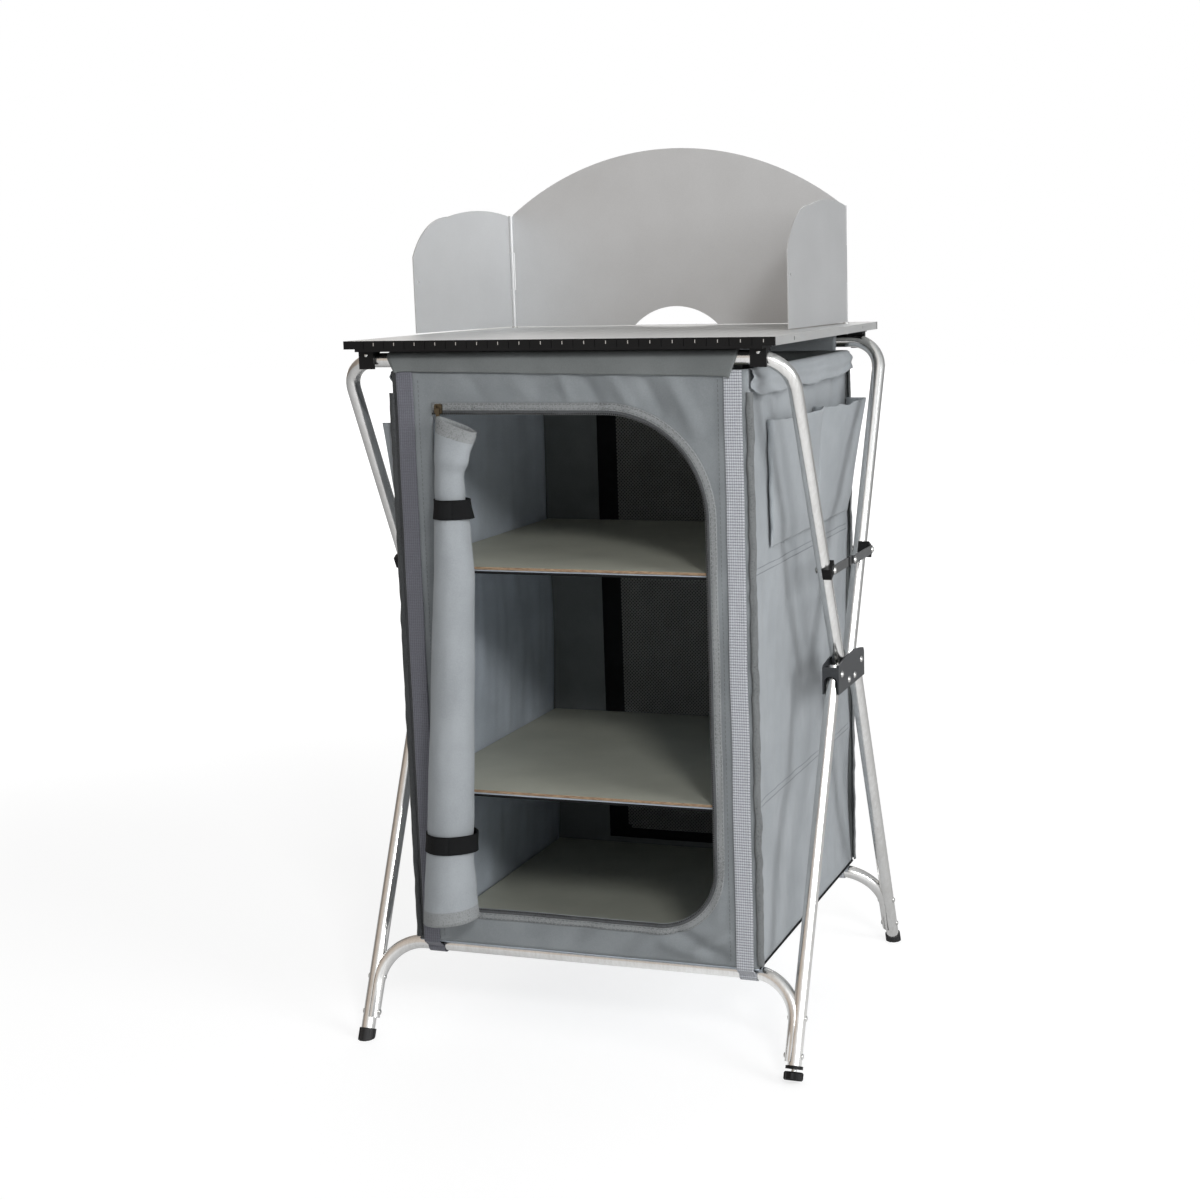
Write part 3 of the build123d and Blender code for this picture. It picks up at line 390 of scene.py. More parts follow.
def clothGrid(spanU, spanV, cellU, cellV=None):
    # a flat cut of cloth, u across and v along it
    bm = bmesh.new()
    countU = max(1, round((spanU[1] - spanU[0]) / cellU))
    countV = max(1, round((spanV[1] - spanV[0]) / (cellV or cellU)))
    bmesh.ops.create_grid(bm, x_segments=countU, y_segments=countV, size=0.5)
    reach = max(vert.co.x for vert in bm.verts)
    scaleU, scaleV = (spanU[1] - spanU[0]) / (2 * reach), (spanV[1] - spanV[0]) / (2 * reach)
    bmesh.ops.scale(bm, vec=(scaleU, scaleV, 1), verts=bm.verts)
    bmesh.ops.translate(bm, vec=((spanU[0] + spanU[1]) / 2, (spanV[0] + spanV[1]) / 2, 0), verts=bm.verts)
    return bm


def cutAway(bm, distance, cell):
    # removes the cloth where distance(u, v) is negative and draws the rim onto the line
    gone = [face for face in bm.faces if distance(*face.calc_center_median().xy) < 0]
    bmesh.ops.delete(bm, geom=gone, context="FACES")
    for vert in {vert for edge in bm.edges if edge.is_boundary for vert in edge.verts}:
        for _ in range(3):
            x, y = vert.co.xy
            away = distance(x, y)
            if abs(away) > cell:
                break
            slope = Vector((distance(x + 0.1, y) - away, distance(x, y + 0.1) - away)) / 0.1
            vert.co.xy -= slope * away


def hang(bm, place, scaleU=mm):
    # keeps the flat cut as UVs in metres, then moves each point to where the cloth hangs
    layer = bm.loops.layers.uv.new("cut")
    for face in bm.faces:
        for loop in face.loops:
            loop[layer].uv = (loop.vert.co.x * scaleU, loop.vert.co.y * mm)
    for vert in bm.verts:
        vert.co = place(vert.co.x, vert.co.y)


def settle(bm, name, finishes, replaced=(), thick=0.0, body="cupboard", smooth=True, flip=False,
           lined=0):
    # a finished piece: into metres, with its finish, its body and, for cloth, its wall
    bmesh.ops.scale(bm, vec=(mm, mm, mm), verts=bm.verts)
    if flip:
        bmesh.ops.reverse_faces(bm, faces=bm.faces)
    piece = newPiece(bm, name, finishes, smooth)
    if thick:
        wall = piece.modifiers.new("wall", "SOLIDIFY")
        wall.thickness, wall.offset = thick * mm, 0.0
        wall.material_offset = lined  # 1 gives the inside the second finish
    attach(piece, body)
    if replaced:
        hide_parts(*replaced)
    if body == "cupboard":
        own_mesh(piece)
    return piece


print("stage: cloth cupboard")

cupboard = {
    "left": -200.0, "right": 214.0, "front": -208.1, "rear": 208.1, "floor": 115.5, "top": 776.0,
    "cell": 4.0, "thick": 0.9, "shelves": (300.0, 558.0), "sags": (4.2, 4.2, 1.2), "sideSeam": 207.3,
    "hems": (-166.5, 180.0),
}
door = {"left": -152.0, "right": 164.0, "top": 728.0, "bottom": 160.0, "upperCorner": 112.0,
        "lowerCorner": 66.0, "tape": 13.0}

# creases pressed into the front: start, end, width, depth
frontCreases = [
    ((0, 774), (14, 744), 6, 1.3), ((25, 776), (46, 742), 7, -1.5), ((60, 768), (82, 738), 7, 1.4),
    ((96, 770), (118, 731), 7, -1.5), ((128, 764), (156, 712), 9, 1.8), ((-60, 772), (-30, 742), 10, 0.9),
    ((-110, 772), (-86, 742), 9, -0.8), ((172, 128), (120, 150), 7, -2.6), ((176, 150), (140, 132), 6, 2.4),
    ((60, 122), (96, 146), 8, 1.6), ((-20, 122), (12, 148), 9, -1.5), ((150, 124), (104, 136), 6, 2.0),
    ((176, 560), (170, 470), 6, 0.8), ((176, 360), (168, 280), 6, -0.8), ((178, 230), (166, 172), 7, 1.1),
]


def wallFace(hand, out=0.0):
    # where a side wall stands, and how far out of it
    return (cupboard["right"] if hand > 0 else cupboard["left"]) + hand * out


def creased(u, v, creases):
    # how deep the creases are at one point, each fading towards its ends
    total = 0.0
    for (startU, startV), (endU, endV), width, depth in creases:
        runU, runV = endU - startU, endV - startV
        share = ((u - startU) * runU + (v - startV) * runV) / (runU * runU + runV * runV)
        share = min(1.0, max(0.0, share))
        away = hypot(u - startU - share * runU, v - startV - share * runV)
        if away < 3 * width:
            total += depth * exp(-(away / width) ** 2) * (0.35 + 0.65 * sin(pi * (0.12 + 0.76 * share)))
    return total


def frontDrape(x, z):
    # how far the front stands out of its plane
    out = 1.5 * wave(x / 95, z / 130, 3.1) + 0.8 * wave(x / 32, z / 60, 7.7)
    out += 2.5 * creased(x, z, frontCreases)
    out *= eased(x - cupboard["left"], 22) * eased(cupboard["right"] - x, 22)
    out *= eased(cupboard["top"] - z, 10) * eased(z - cupboard["floor"], 12)
    leftHem, rightHem = cupboard["hems"]
    return out + (0.7 if x < leftHem or x > rightHem else 0.0)


def frontPlace(x, z, lift=0.0):
    # on the front wall, whose two side edges turn round the corner
    turn = max(0.0, (cupboard["left"] + 3 - x) / 3, (x - cupboard["right"] + 3) / 3)
    return Vector((x, cupboard["front"] - frontDrape(x, z) - lift + 1.8 * turn ** 2, z))


def doorDistance(x, z, grow=0.0):
    # how far outside the door's opening, negative inside it
    low, high = door["bottom"] - grow, door["top"] + grow
    right = door["right"] + grow
    halfX, halfZ = (right - door["left"]) / 2, (high - low) / 2
    fromX, fromZ = x - (right + door["left"]) / 2, z - (high + low) / 2
    corner = 0.0
    if fromX > 0:
        corner = (door["upperCorner"] if fromZ > 0 else door["lowerCorner"]) + grow
    pastX, pastZ = abs(fromX) - halfX + corner, abs(fromZ) - halfZ + corner
    return hypot(max(pastX, 0), max(pastZ, 0)) + min(max(pastX, pastZ), 0) - corner


def doorPath(offset, pitch):
    # points and headings along the door's free edge, from its top left round to its bottom left
    right, top, bottom = door["right"] + offset, door["top"] + offset, door["bottom"] - offset
    upper, lower = door["upperCorner"] + offset, door["lowerCorner"] + offset
    runs = [right - upper - door["left"], upper * pi / 2, top - upper - bottom - lower, lower * pi / 2,
            right - lower - door["left"]]
    count = int(sum(runs) / pitch)
    for index in range(count):
        far, leg = (index + 0.5) * sum(runs) / count, 0
        while far > runs[leg]:
            far -= runs[leg]
            leg += 1
        if leg == 0:
            yield door["left"] + far, top, 0.0
        elif leg == 1:
            turn = far / upper
            yield right - upper + upper * sin(turn), top - upper + upper * cos(turn), -turn
        elif leg == 2:
            yield right, top - upper - far, -pi / 2
        elif leg == 3:
            turn = far / lower
            yield right - lower + lower * cos(turn), bottom + lower - lower * sin(turn), -pi / 2 - turn
        else:
            yield right - lower - far, bottom, -pi


def addBlock(bm, centre, size, turn=None):
    # one small block, for a tooth of the zip, a stitch or a staple
    matrix = Matrix.Translation(centre) @ (turn or Matrix.Identity(4)) @ Matrix.Diagonal((*size, 1))
    bmesh.ops.create_cube(bm, size=1.0, matrix=matrix)


across = (cupboard["left"], cupboard["right"])
upright = (cupboard["floor"] + 0.8, cupboard["top"])
panel = clothGrid(across, upright, cupboard["cell"])
cutAway(panel, doorDistance, cupboard["cell"])
for face in panel.faces:  # painted shade: a dark lap by the left strap, where the corner lies in shade
    face.material_index = 1 if face.calc_center_median().x < cupboard["left"] + 7 else 0
hang(panel, frontPlace)
# painted shade: the front panel wears the darkened front cloth
frontPanel = settle(panel, "frontPanel", [shadedFrontCloth, paintedShadeBinding], ["cupboard_front_wall"],
                    cupboard["thick"])

tape = clothGrid((door["left"], door["right"] + door["tape"]),
                 (door["bottom"] - door["tape"], door["top"] + door["tape"]), 2.6)
cutAway(tape, lambda x, z: -doorDistance(x, z, door["tape"]), 2.6)
cutAway(tape, doorDistance, 2.6)


def tapePlace(x, z):
    away = doorDistance(x, z)
    return frontPlace(x, z, 0.95 + 0.5 * sin(pi * min(1.0, max(0.0, away / door["tape"]))))


hang(tape, tapePlace)
doorZipTape = settle(tape, "doorZipTape", [tapeCloth], ["door_zip_tape"], 0.7)

# the dark coil strip along the tape's inner edge
coil = {"near": 0.4, "far": 4.8, "pitch": 2.6}
coilPoints = list(doorPath(0.0, coil["pitch"]))
strip = clothGrid((0, len(coilPoints) - 1), (coil["near"], coil["far"]), 1, 1.5)


def coilPlace(step, offset):
    x, z, heading = coilPoints[round(step)]
    lift = 1.5 + 0.5 * sin(pi * offset / door["tape"]) + 0.25 * wave(step / 9, offset / 4, 6.0)
    return frontPlace(x - offset * sin(heading), z + offset * cos(heading), lift)


hang(strip, coilPlace, coil["pitch"] * mm)
settle(strip, "zipCoil", [zipCloth], thick=0.5)

tooth = {"offset": 1.2, "pitch": 2.4, "lift": 1.4, "size": (1.5, 1.3, 1.8)}
teeth = bmesh.new()
for x, z, heading in doorPath(tooth["offset"], tooth["pitch"]):
    addBlock(teeth, frontPlace(x, z, tooth["lift"]), tooth["size"], Matrix.Rotation(-heading, 4, "Y"))
settle(teeth, "zipTeeth", [elasticPaint], smooth=False)


def sideDrape(y, z, hand):
    # how far a side wall sags in between the shelves, with the long soft folds it hangs in
    levels = (cupboard["floor"], *cupboard["shelves"], cupboard["top"])
    sag = 0.0
    for low, high, depth in zip(levels, levels[1:], cupboard["sags"]):
        if low <= z <= high:
            sag = depth * sin(pi * (z - low) / (high - low))
    shift = 31.0 if hand > 0 else 57.0
    folds = 3.2 * wave(y / 46 + z / 600, z / 230, shift) + 1.5 * wave(y / 19 - z / 260, z / 110, shift + 9)
    folds += 0.9 * wave(y / 60, z / 22, shift + 4) * bell(z, 566, 40)
    fixed = eased(cupboard["sideSeam"] - abs(y), 16)
    fixed *= eased(z - cupboard["floor"], 14) * eased(cupboard["top"] - z, 14)
    for shelf in cupboard["shelves"]:
        fixed *= 1 - 0.8 * bell(z, shelf - 6, 7)
    return -sag + (folds - 1.2) * fixed


def sidePlace(hand, lift=0.0):
    return lambda y, z: Vector((wallFace(hand, sideDrape(y, z, hand) + lift - 0.5), y, z))


for hand, name in hands.items():
    wall = clothGrid((-cupboard["sideSeam"], cupboard["sideSeam"]), upright, cupboard["cell"])
    hang(wall, sidePlace(hand))
    # painted light: the walls' insides take the lightened lining
    piece = settle(wall, f"{name}Wall", [greyCloth, paintedLightLining], [f"cupboard_{name}_wall"],
                   cupboard["thick"], flip=hand < 0, lined=1)

# rear wall with its window
window = {"width": 206.0, "centre": 7.0, "margin": 24.0, "band": 27.0, "radius": 6.0}


def windowDistance(x, z, grow=0.0):
    # how far outside the window, negative inside it
    halfX = window["width"] / 2 + grow
    halfZ = (cupboard["top"] - cupboard["floor"]) / 2 - window["margin"] + grow
    pastX = abs(x - window["centre"]) - halfX + window["radius"]
    pastZ = abs(z - (cupboard["top"] + cupboard["floor"]) / 2) - halfZ + window["radius"]
    return hypot(max(pastX, 0), max(pastZ, 0)) + min(max(pastX, pastZ), 0) - window["radius"]


def rearPlace(x, z, lift=0.0):
    out = 1.1 * wave(x / 80, z / 150, 12.5) + 0.5 * wave(x / 26, z / 70, 17.5)
    out *= eased(x - cupboard["left"], 20) * eased(cupboard["right"] - x, 20)
    out *= eased(cupboard["top"] - z, 14) * eased(z - cupboard["floor"] + 0.5, 14)
    return Vector((x, cupboard["rear"] + out - lift, z))


rear = clothGrid(across, upright, cupboard["cell"])
cutAway(rear, windowDistance, cupboard["cell"])
hang(rear, rearPlace)
# painted shade: the rear wall's inside takes the darkened sleeve cloth
rearPanel = settle(rear, "rearPanel", [greyCloth, shadedSleeveCloth], ["cupboard_rear_wall"],
                   cupboard["thick"], flip=True, lined=1)

reach = window["width"] / 2 + window["band"]
inset = window["margin"] - window["band"] / 2
screen = clothGrid((window["centre"] - reach, window["centre"] + reach),
                   (cupboard["floor"] + inset, cupboard["top"] - inset), 4.5)
hang(screen, lambda x, z: rearPlace(x, z, 1.4))
for face in screen.faces:
    centre = face.calc_center_median()
    face.material_index = 1 if windowDistance(centre.x, centre.z, -2.0) > 0 else 0
screenPiece = settle(screen, "windowScreen", [windowMesh, blackCloth], ["mesh_window"], 0.7,
                     flip=True)

floorCut = clothGrid(across, (-208.4, 208.4), 6)
hang(floorCut, lambda x, y: Vector((x, y, cupboard["floor"] - 0.15 + 0.25 * wave(x / 60, y / 60, 5.0))))
# painted light: the floor takes the lightened lining
floorPanel = settle(floorCut, "floorPanel", [paintedLightLining], ["cupboard_floor"], 0.8)


def addPiping(name, span, radius, place):
    # a black piped edge; place gets how far along, out and up each point is
    piping = clothGrid(span, (0, 2 * pi * radius), 8, 0.7)
    hang(piping, lambda along, arc: place(along, radius * cos(arc / radius), radius * sin(arc / radius)))
    bmesh.ops.remove_doubles(piping, verts=piping.verts, dist=0.05)
    bmesh.ops.holes_fill(piping, edges=[edge for edge in piping.edges if edge.is_boundary])
    bmesh.ops.recalc_face_normals(piping, faces=piping.faces)
    settle(piping, name, [blackCloth])


# along the foot of each side wall
for hand, name in hands.items():
    addPiping(f"{name}FootPiping", (-207.0, 207.0), 1.3,
              lambda y, away, up: Vector((wallFace(hand, 0.2 + away), y, cupboard["floor"] + 0.9 + up)))

# the two sewn-in cloth shelves with their corded front hems
hammock = {"left": -197.8, "right": 211.8, "front": -206.9, "rear": 205.4, "hem": -205.4, "under": 3.9}
for top, name in zip(cupboard["shelves"], ("middle", "upper")):
    under = top - hammock["under"]
    width = (hammock["left"], hammock["right"])
    cloth = clothGrid(width, (hammock["front"], hammock["rear"]), 6)
    hang(cloth, lambda x, y: Vector((x, y, under - 0.15 + 0.2 * wave(x / 50, y / 50, under))))
    # painted light: the shelf takes the lightened lining
    shelf = settle(cloth, f"{name}ShelfCloth", [paintedLightLining], ["shelf_hammocks"], 0.7)
    addPiping(f"{name}ShelfPiping", width, 1.75,
              lambda x, away, up: Vector((x, hammock["hem"] + away, under - 2.0 + up)))

print("stage: sleeves and straps")

sleeve = {"length": 408.0, "centre": 788.0, "spread": 202.0, "radius": 8.75, "skirt": 769.0, "inner": 776.0,
          "flare": 22.0, "leftRise": {-1: 7.0, 1: 0.0}}


def sleevePath(side, along):
    # from the wall's top edge behind the bar, up over it and down in front as a short skirt
    rise = sleeve["centre"] - sleeve["inner"]
    arc = pi * sleeve["radius"]
    if along < rise:
        y, z = sleeve["spread"] - sleeve["radius"], sleeve["inner"] + along
    elif along < rise + arc:
        angle = (along - rise) / sleeve["radius"]
        y = sleeve["spread"] - sleeve["radius"] * cos(angle)
        z = sleeve["centre"] + sleeve["radius"] * sin(angle)
    else:
        y, z = sleeve["spread"] + sleeve["radius"], sleeve["centre"] - (along - rise - arc)
    return side * y, z


sleeveRun = pi * sleeve["radius"] + 2 * sleeve["centre"] - sleeve["inner"] - sleeve["skirt"]
for side, name in sides.items():
    half = sleeve["length"] / 2
    cloth = clothGrid((-half, half), (0, sleeveRun), 4.5, 1.9)

    def sleevePlace(x, along):
        y, z = sleevePath(side, along)
        skirt = max(0.0, 1 - (sleeveRun - along) / sleeve["flare"])
        y += side * skirt * (0.6 + 0.9 * wave(x / 28, 2.0, side) + 1.2 * bell(abs(x), half, 10))
        z -= skirt * (wave(x / 60, 5.0, side) + 2.0 * bell(abs(x), half, 9))
        z += skirt * sleeve["leftRise"][side] * (0.5 - x / sleeve["length"])
        return Vector((x - 9.0 * skirt * (x / half) ** 15, y, z))

    hang(cloth, sleevePlace)
    # painted shade: the front sleeve takes the darkened sleeve cloth, the rear one the plain grey
    finish = shadedSleeveCloth if side < 0 else greyCloth
    piece = settle(cloth, f"{name}Sleeve", [finish], [f"{name}_bar_sleeve"], 0.7,
                   body=f"upper_{name}", flip=side < 0)

strap = {"left": -184.0, "right": 198.5, "width": 20.0, "top": 775.0, "face": 210.4, "turn": 114.0,
         "under": 12.6, "barY": 191.87, "barZ": 106.5, "radius": 9.3, "end": 7.0, "rib": {-1: 0.04, 1: 0.1}}
strapRuns = [strap["top"] - strap["turn"], strap["under"], pi * strap["radius"], strap["end"]]


def strapPath(far):
    # down the corner, in under the floor, round the bar and back up behind it
    if far < strapRuns[0]:
        return strap["face"], strap["top"] - far
    far -= strapRuns[0]
    hookY = strap["barY"] + strap["radius"]
    if far < strapRuns[1]:
        share = far / strapRuns[1]
        y = strap["face"] + (hookY - strap["face"]) * share
        return y, strap["turn"] + (strap["barZ"] - strap["turn"]) * share
    far -= strapRuns[1]
    if far < strapRuns[2]:
        angle = far / strap["radius"]
        return strap["barY"] + strap["radius"] * cos(angle), strap["barZ"] - strap["radius"] * sin(angle)
    far -= strapRuns[2]
    return strap["barY"] - strap["radius"], strap["barZ"] + far


for side, sideName in sides.items():
    for hand, handName in hands.items():
        cloth = clothGrid((-strap["width"] / 2, strap["width"] / 2), (0, sum(strapRuns)), 1.7, 0.78)

        def strapPlace(u, far):
            x, (y, z) = strap[handName] + u, strapPath(far)
            if far < strapRuns[0]:
                x += 0.8 * wave(far / 90, hand * 3.0, side * 5.0)
                y += strap["rib"][hand] * sin(2 * pi * far / ribPitch)
            return Vector((x, side * (y + 0.25 * wave(far / 40, u / 8, hand)), z))

        hang(cloth, strapPlace)
        # painted shade: the left straps take the darkened plain webbing
        finish = plainShadedWebbing if hand < 0 else webbing
        piece = settle(cloth, f"{handName}{sideName.title()}Strap", [finish], ["webbing_straps"],
                       0.8, flip=side > 0)

print("stage: pockets, flaps and bindings")

pocket = {"foot": 577.0, "mouth": 718.0, "depth": 3.4, "side": 6.0}


def addPocket(name, node, hand, start, end, mouthStart, mouthEnd, wavy, belly, gape=0.0):
    # a patch sewn down at its two sides and its foot, its mouth standing open
    span, side = end - start, pocket["side"]
    width = span + 2 * side
    cloth = clothGrid((0, width), (pocket["foot"], pocket["mouth"]), 2.6)

    def pocketPlace(u, z):
        rise = (z - pocket["foot"]) / (pocket["mouth"] - pocket["foot"])
        inner = min(max(u - side, 0.0), span)
        share = inner / span
        y = start + inner
        mouth = (mouthStart + (mouthEnd - mouthStart) * share) * rise ** 1.2
        mouth += gape * bell(share, 0.86, 0.16) * rise ** 4  # it stands open by the divider
        out = pocket["depth"] * min(1.0, rise * 6) + mouth
        if u < side:
            out *= u / side
            y += wavy * (1 - u / side) * wave(z / 21, 1.0, start) * 4
        elif u > span + side:
            out *= (width - u) / side
        else:
            swell = belly * sin(pi * share) * sin(pi * min(1.0, rise * 1.1))
            out += swell * (1 + 0.4 * wave(y / 20, z / 40, hand))
        sewn = 1 if side <= u <= span + side else 0.3
        out += 0.7 * wave(y / 26, z / 34, hand * 2.0) * min(1.0, rise * 3) * sewn
        dip = 3.5 * rise ** 6 * sin(pi * share) * (1 + wave(y / 25, 3.0, hand))
        lean = wavy * 5.0 * (1 - share) * (1 - rise) + (0.4 if share < 0.5 else -0.4)
        return Vector((wallFace(hand, 0.6 + max(0.15, out)), y + lean, z - dip))

    hang(cloth, pocketPlace)
    piece = settle(cloth, name, [greyCloth], [node], 0.8, flip=hand < 0)


addPocket("rightFrontPocket", "pocket_right_front", 1, -141, 48.6, 4.0, 5.5, 1.0, 1.4, 8.0)
addPocket("rightRearPocket", "pocket_right_rear", 1, 49, 200, 6.0, 23.0, 0.3, 1.0)
addPocket("leftFrontPocket", "side_pockets_left", -1, -200, -49, 16.0, 6.5, 0.4, 1.2)
addPocket("leftRearPocket", "side_pockets_left", -1, -48.6, 141, 6.5, 6.5, 0.4, 1.2)

flap = {"drop": 29.0, "reach": 6.0, "length": 404.0, "cut": 36.0}
for hand, name in hands.items():
    half = flap["length"] / 2
    cloth = clothGrid((-half, half), (0, flap["cut"]), 3.4, 2.6)

    def flapPlace(y, far):
        share = far / flap["cut"]
        swell = flap["reach"] * sin(pi * min(1.0, share * 0.85)) ** 0.8
        swell *= 0.85 + 0.3 * wave(y / 75, 2.0, hand * 7) + 0.1 * sin(y / 46 + hand)
        pleat = 1.5 * sin(4.4 * pi * share + 1.4 * wave(y / 90, 3.0, hand))
        pleat *= (0.25 + 0.75 * share) * min(1.0, share * 4)
        pleat += share * (3.5 * bell(y, half, 16) - 3.0 * bell(y, -half, 12))
        pleat += share * 0.6 * wave(y / 12, far / 30, hand)
        hem = 3.0 * wave(y / 70, 9.0, hand) + wave(y / 19, 4.0, hand) - flap["drop"]
        hem += 7.0 * bell(y, half, 26) + 9.0 * bell(y, -half, 14)  # drawn up at both corners
        z = cupboard["top"] + 4 * sin(pi * share) + share * hem
        return Vector((wallFace(hand, 1.4 + swell + pleat), y, z))

    hang(cloth, flapPlace)
    piece = settle(cloth, f"{name}Flap", [greyCloth], ["side_flaps"], 0.8, flip=hand > 0)

# bindings sewn over the corner seams
binding = {"width": 13.0, "foot": 4.0, "top": 752.0, "face": 205.2, "across": 4.3, "deep": 5.2,
           "sweep": 150.0, "turn": {-1: 138.0, 1: 112.0}, "sway": {-1: 0.3, 1: 1.0}}
for hand, handName in hands.items():
    for side, sideName in sides.items():
        height = (cupboard["floor"] + binding["foot"], binding["top"])
        cloth = clothGrid((0, binding["width"]), height, 1.3, 3.2)

        def bindingPlace(u, z):
            # a lip that wraps the corner from the front or rear face round to the side
            turn = radians(binding["turn"][hand] - binding["sweep"] * u / binding["width"])
            sway = 1.3 * wave(z / 30, hand * 2.0, side * 3.0) + 0.8 * wave(z / 11, hand, side)
            sway *= binding["sway"][hand]
            swell = 1.0 + 0.25 * wave(z / 18, u / 5, hand)
            out = 0.6 + binding["across"] * swell * cos(turn) + sway
            y = binding["face"] + binding["deep"] * swell * sin(turn) - 0.5 * sway
            return Vector((wallFace(hand, out), side * y, z))

        hang(cloth, bindingPlace)
        # painted shade: the left bindings take the darkened binding cloth
        finish = paintedShadeBinding if hand < 0 else bindingCloth
        piece = settle(cloth, f"{handName}{sideName.title()}Binding", [finish], (), 0.7,
                       flip=(hand < 0) != (side > 0))

# rows of stitches down the front, round the door and along the shelves
stitch = {"pitch": 5.2, "length": 3.2, "width": 0.55, "height": 0.4, "columns": (-168.0, 181.5),
          "columnSpan": (122.0, 770.0), "doorRows": (6.4, 11.6), "shelfRows": (296.0, 302.0, 554.0, 560.0),
          "shelfSpan": (-198.0, 198.0)}
stitches = bmesh.new()


def stitchRow(span, place, turn):
    low, high = span
    for index in range(int((high - low) / stitch["pitch"])):
        centre = place(low + (index + 0.5) * stitch["pitch"])
        addBlock(stitches, centre, (stitch["length"], stitch["height"], stitch["width"]), turn)


for column in stitch["columns"]:
    stitchRow(stitch["columnSpan"], lambda z: frontPlace(column, z, 0.5), Matrix.Rotation(pi / 2, 4, "Y"))
for offset in stitch["doorRows"]:
    for x, z, heading in doorPath(offset, stitch["pitch"]):
        centre = frontPlace(x, z, 1.4 + 0.5 * sin(pi * offset / door["tape"]))
        addBlock(stitches, centre, (stitch["length"], stitch["height"], stitch["width"]),
                 Matrix.Rotation(-heading, 4, "Y"))
for hand in hands:
    place = sidePlace(hand, 0.55)
    for height in stitch["shelfRows"]:
        stitchRow(stitch["shelfSpan"], lambda y: place(y, height), Matrix.Rotation(pi / 2, 4, "Z"))
settle(stitches, "seamStitches", [threadPaint], smooth=False)

print("stage: rolled door")

roll = {"bottom": 156.0, "top": 727.0, "turns": 2.4, "gap": 1.5, "band": 14.0, "back": -210.3, "left": -174.5,
        "lean": 42.0, "tuck": 9.0, "start": 60.0, "girth": 138.0}
# heights and radii of the roll, thin where the upper tie holds it
rollLevels = [(156.0, 32.5), (190.0, 30.0), (227.0, 27.5), (420.0, 25.2), (540.0, 23.8), (612.0, 20.8),
              (640.0, 18.0), (668.0, 16.8), (690.0, 20.5), (727.0, 24.5)]
ties = {"heights": (626.5, 248.5), "width": 21.0, "tab": 5.4}


def rollRadius(z):
    for (low, lowRadius), (high, highRadius) in zip(rollLevels, rollLevels[1:]):
        if z <= high:
            share = max(0.0, (z - low) / (high - low))
            share = share * share * (3 - 2 * share)
            return lowRadius + (highRadius - lowRadius) * share
    return rollLevels[-1][1]


def rollShare(z):
    return (z - roll["bottom"]) / (roll["top"] - roll["bottom"])


def rollCentre(z):
    # its left edge leans to the right and is tucked back at the top
    leftEdge = roll["left"] + roll["lean"] * rollShare(z) - roll["tuck"] * max(0.0, rollShare(z) - 0.7) / 0.3
    return leftEdge + rollRadius(z), roll["back"] - rollRadius(z)


def rollPlace(angle, z, inset=0.0):
    # on the roll's skin, which is drawn in under both ties
    radius = rollRadius(z) - inset
    for height in ties["heights"]:
        radius -= 1.2 * bell(z, height, 15)
    radius += 0.9 * wave(cos(angle) * 1.2, sin(angle) * 1.2, z / 90)
    radius += 0.5 * wave(3 * cos(angle), 3 * sin(angle), z / 45)
    centreX, centreY = rollCentre(z)
    flat = 1.0 - 0.55 * bell(z, 738, 48)  # pressed nearly closed at its top
    centreY += (1 - flat) * rollRadius(z)
    return Vector((centreX + radius * cos(angle), centreY + flat * radius * sin(angle), z))


def rolledPlace(degreesRound, z):
    # one turn inside the other, with both ends at a slant
    angle = radians(roll["start"]) + radians(degreesRound)
    point = rollPlace(angle, z, roll["gap"] * degreesRound / 360)
    slant = 0.08 * max(0.0, 0.15 - rollShare(z)) / 0.15 * cos(angle)
    slant -= 1.8 * max(0.0, rollShare(z) - 0.8) * (cos(angle) + 1)
    point.z += slant * rollRadius(z)
    return point


cloth = clothGrid((0, roll["turns"] * 360), (roll["bottom"], roll["top"]), 10, 4)
for face in cloth.faces:  # the zip tape at both ends
    height = face.calc_center_median().y
    fromEnd = min(roll["top"] - height, height - roll["bottom"])
    face.material_index = 1 if fromEnd < roll["band"] else 0
hang(cloth, rolledPlace, roll["girth"] / 360 * mm)
doorRoll = settle(cloth, "rolledDoor", [greyCloth, tapeCloth], ["door_roll"], 0.8)

for index, height in enumerate(ties["heights"]):
    half = ties["width"] / 2
    cloth = clothGrid((0, 360), (height - half, height + half), 10, 3)

    def tiePlace(around, z):
        angle = radians(around)
        pull = max(0.0, cos(angle)) ** 6  # the tab stands out on the roll's right
        return rollPlace(angle, z, -1.1) + Vector((ties["tab"] * pull, -1.5 * pull, 0))

    hang(cloth, tiePlace)
    bmesh.ops.remove_doubles(cloth, verts=cloth.verts, dist=0.05)
    piece = settle(cloth, f"doorTie{index + 1}", [blackCloth], ["door_ties"], 1.1)
    2 * pi * rollRadius(height) * mm + 0.01
    overlap = clothGrid((-9, 9), (height - half + 0.8, height + half - 0.8), 3, 3)
    hang(overlap, lambda u, z: rollPlace(u / rollRadius(z) - pi / 2, z, -2.4))
    settle(overlap, f"doorTieEnd{index + 1}", [blackCloth], (), 1.0)

print("stage: small metal parts")

# rivets that hold each cross tube to its legs
leg = {"x": 260.0, "footY": 242.0, "lean": atan2(197.0, 418.5), "radius": 8.0, "inset": 4.0}
crossRivet = {"reaches": (31.0, 72.0), "radius": 3.4, "height": 1.5}


def addDome(bm, centre, axis, radius, height):
    # a low domed rivet head
    turn = axis.to_track_quat("Z", "Y").to_matrix().to_4x4()
    made = bmesh.ops.create_uvsphere(bm, u_segments=20, v_segments=10, radius=radius,
                                     matrix=Matrix.Translation(centre) @ turn)
    for vert in made["verts"]:
        local = turn.inverted() @ (vert.co - centre)
        local.z = local.z * height / radius if local.z > 0 else -0.4
        vert.co = centre + turn @ local


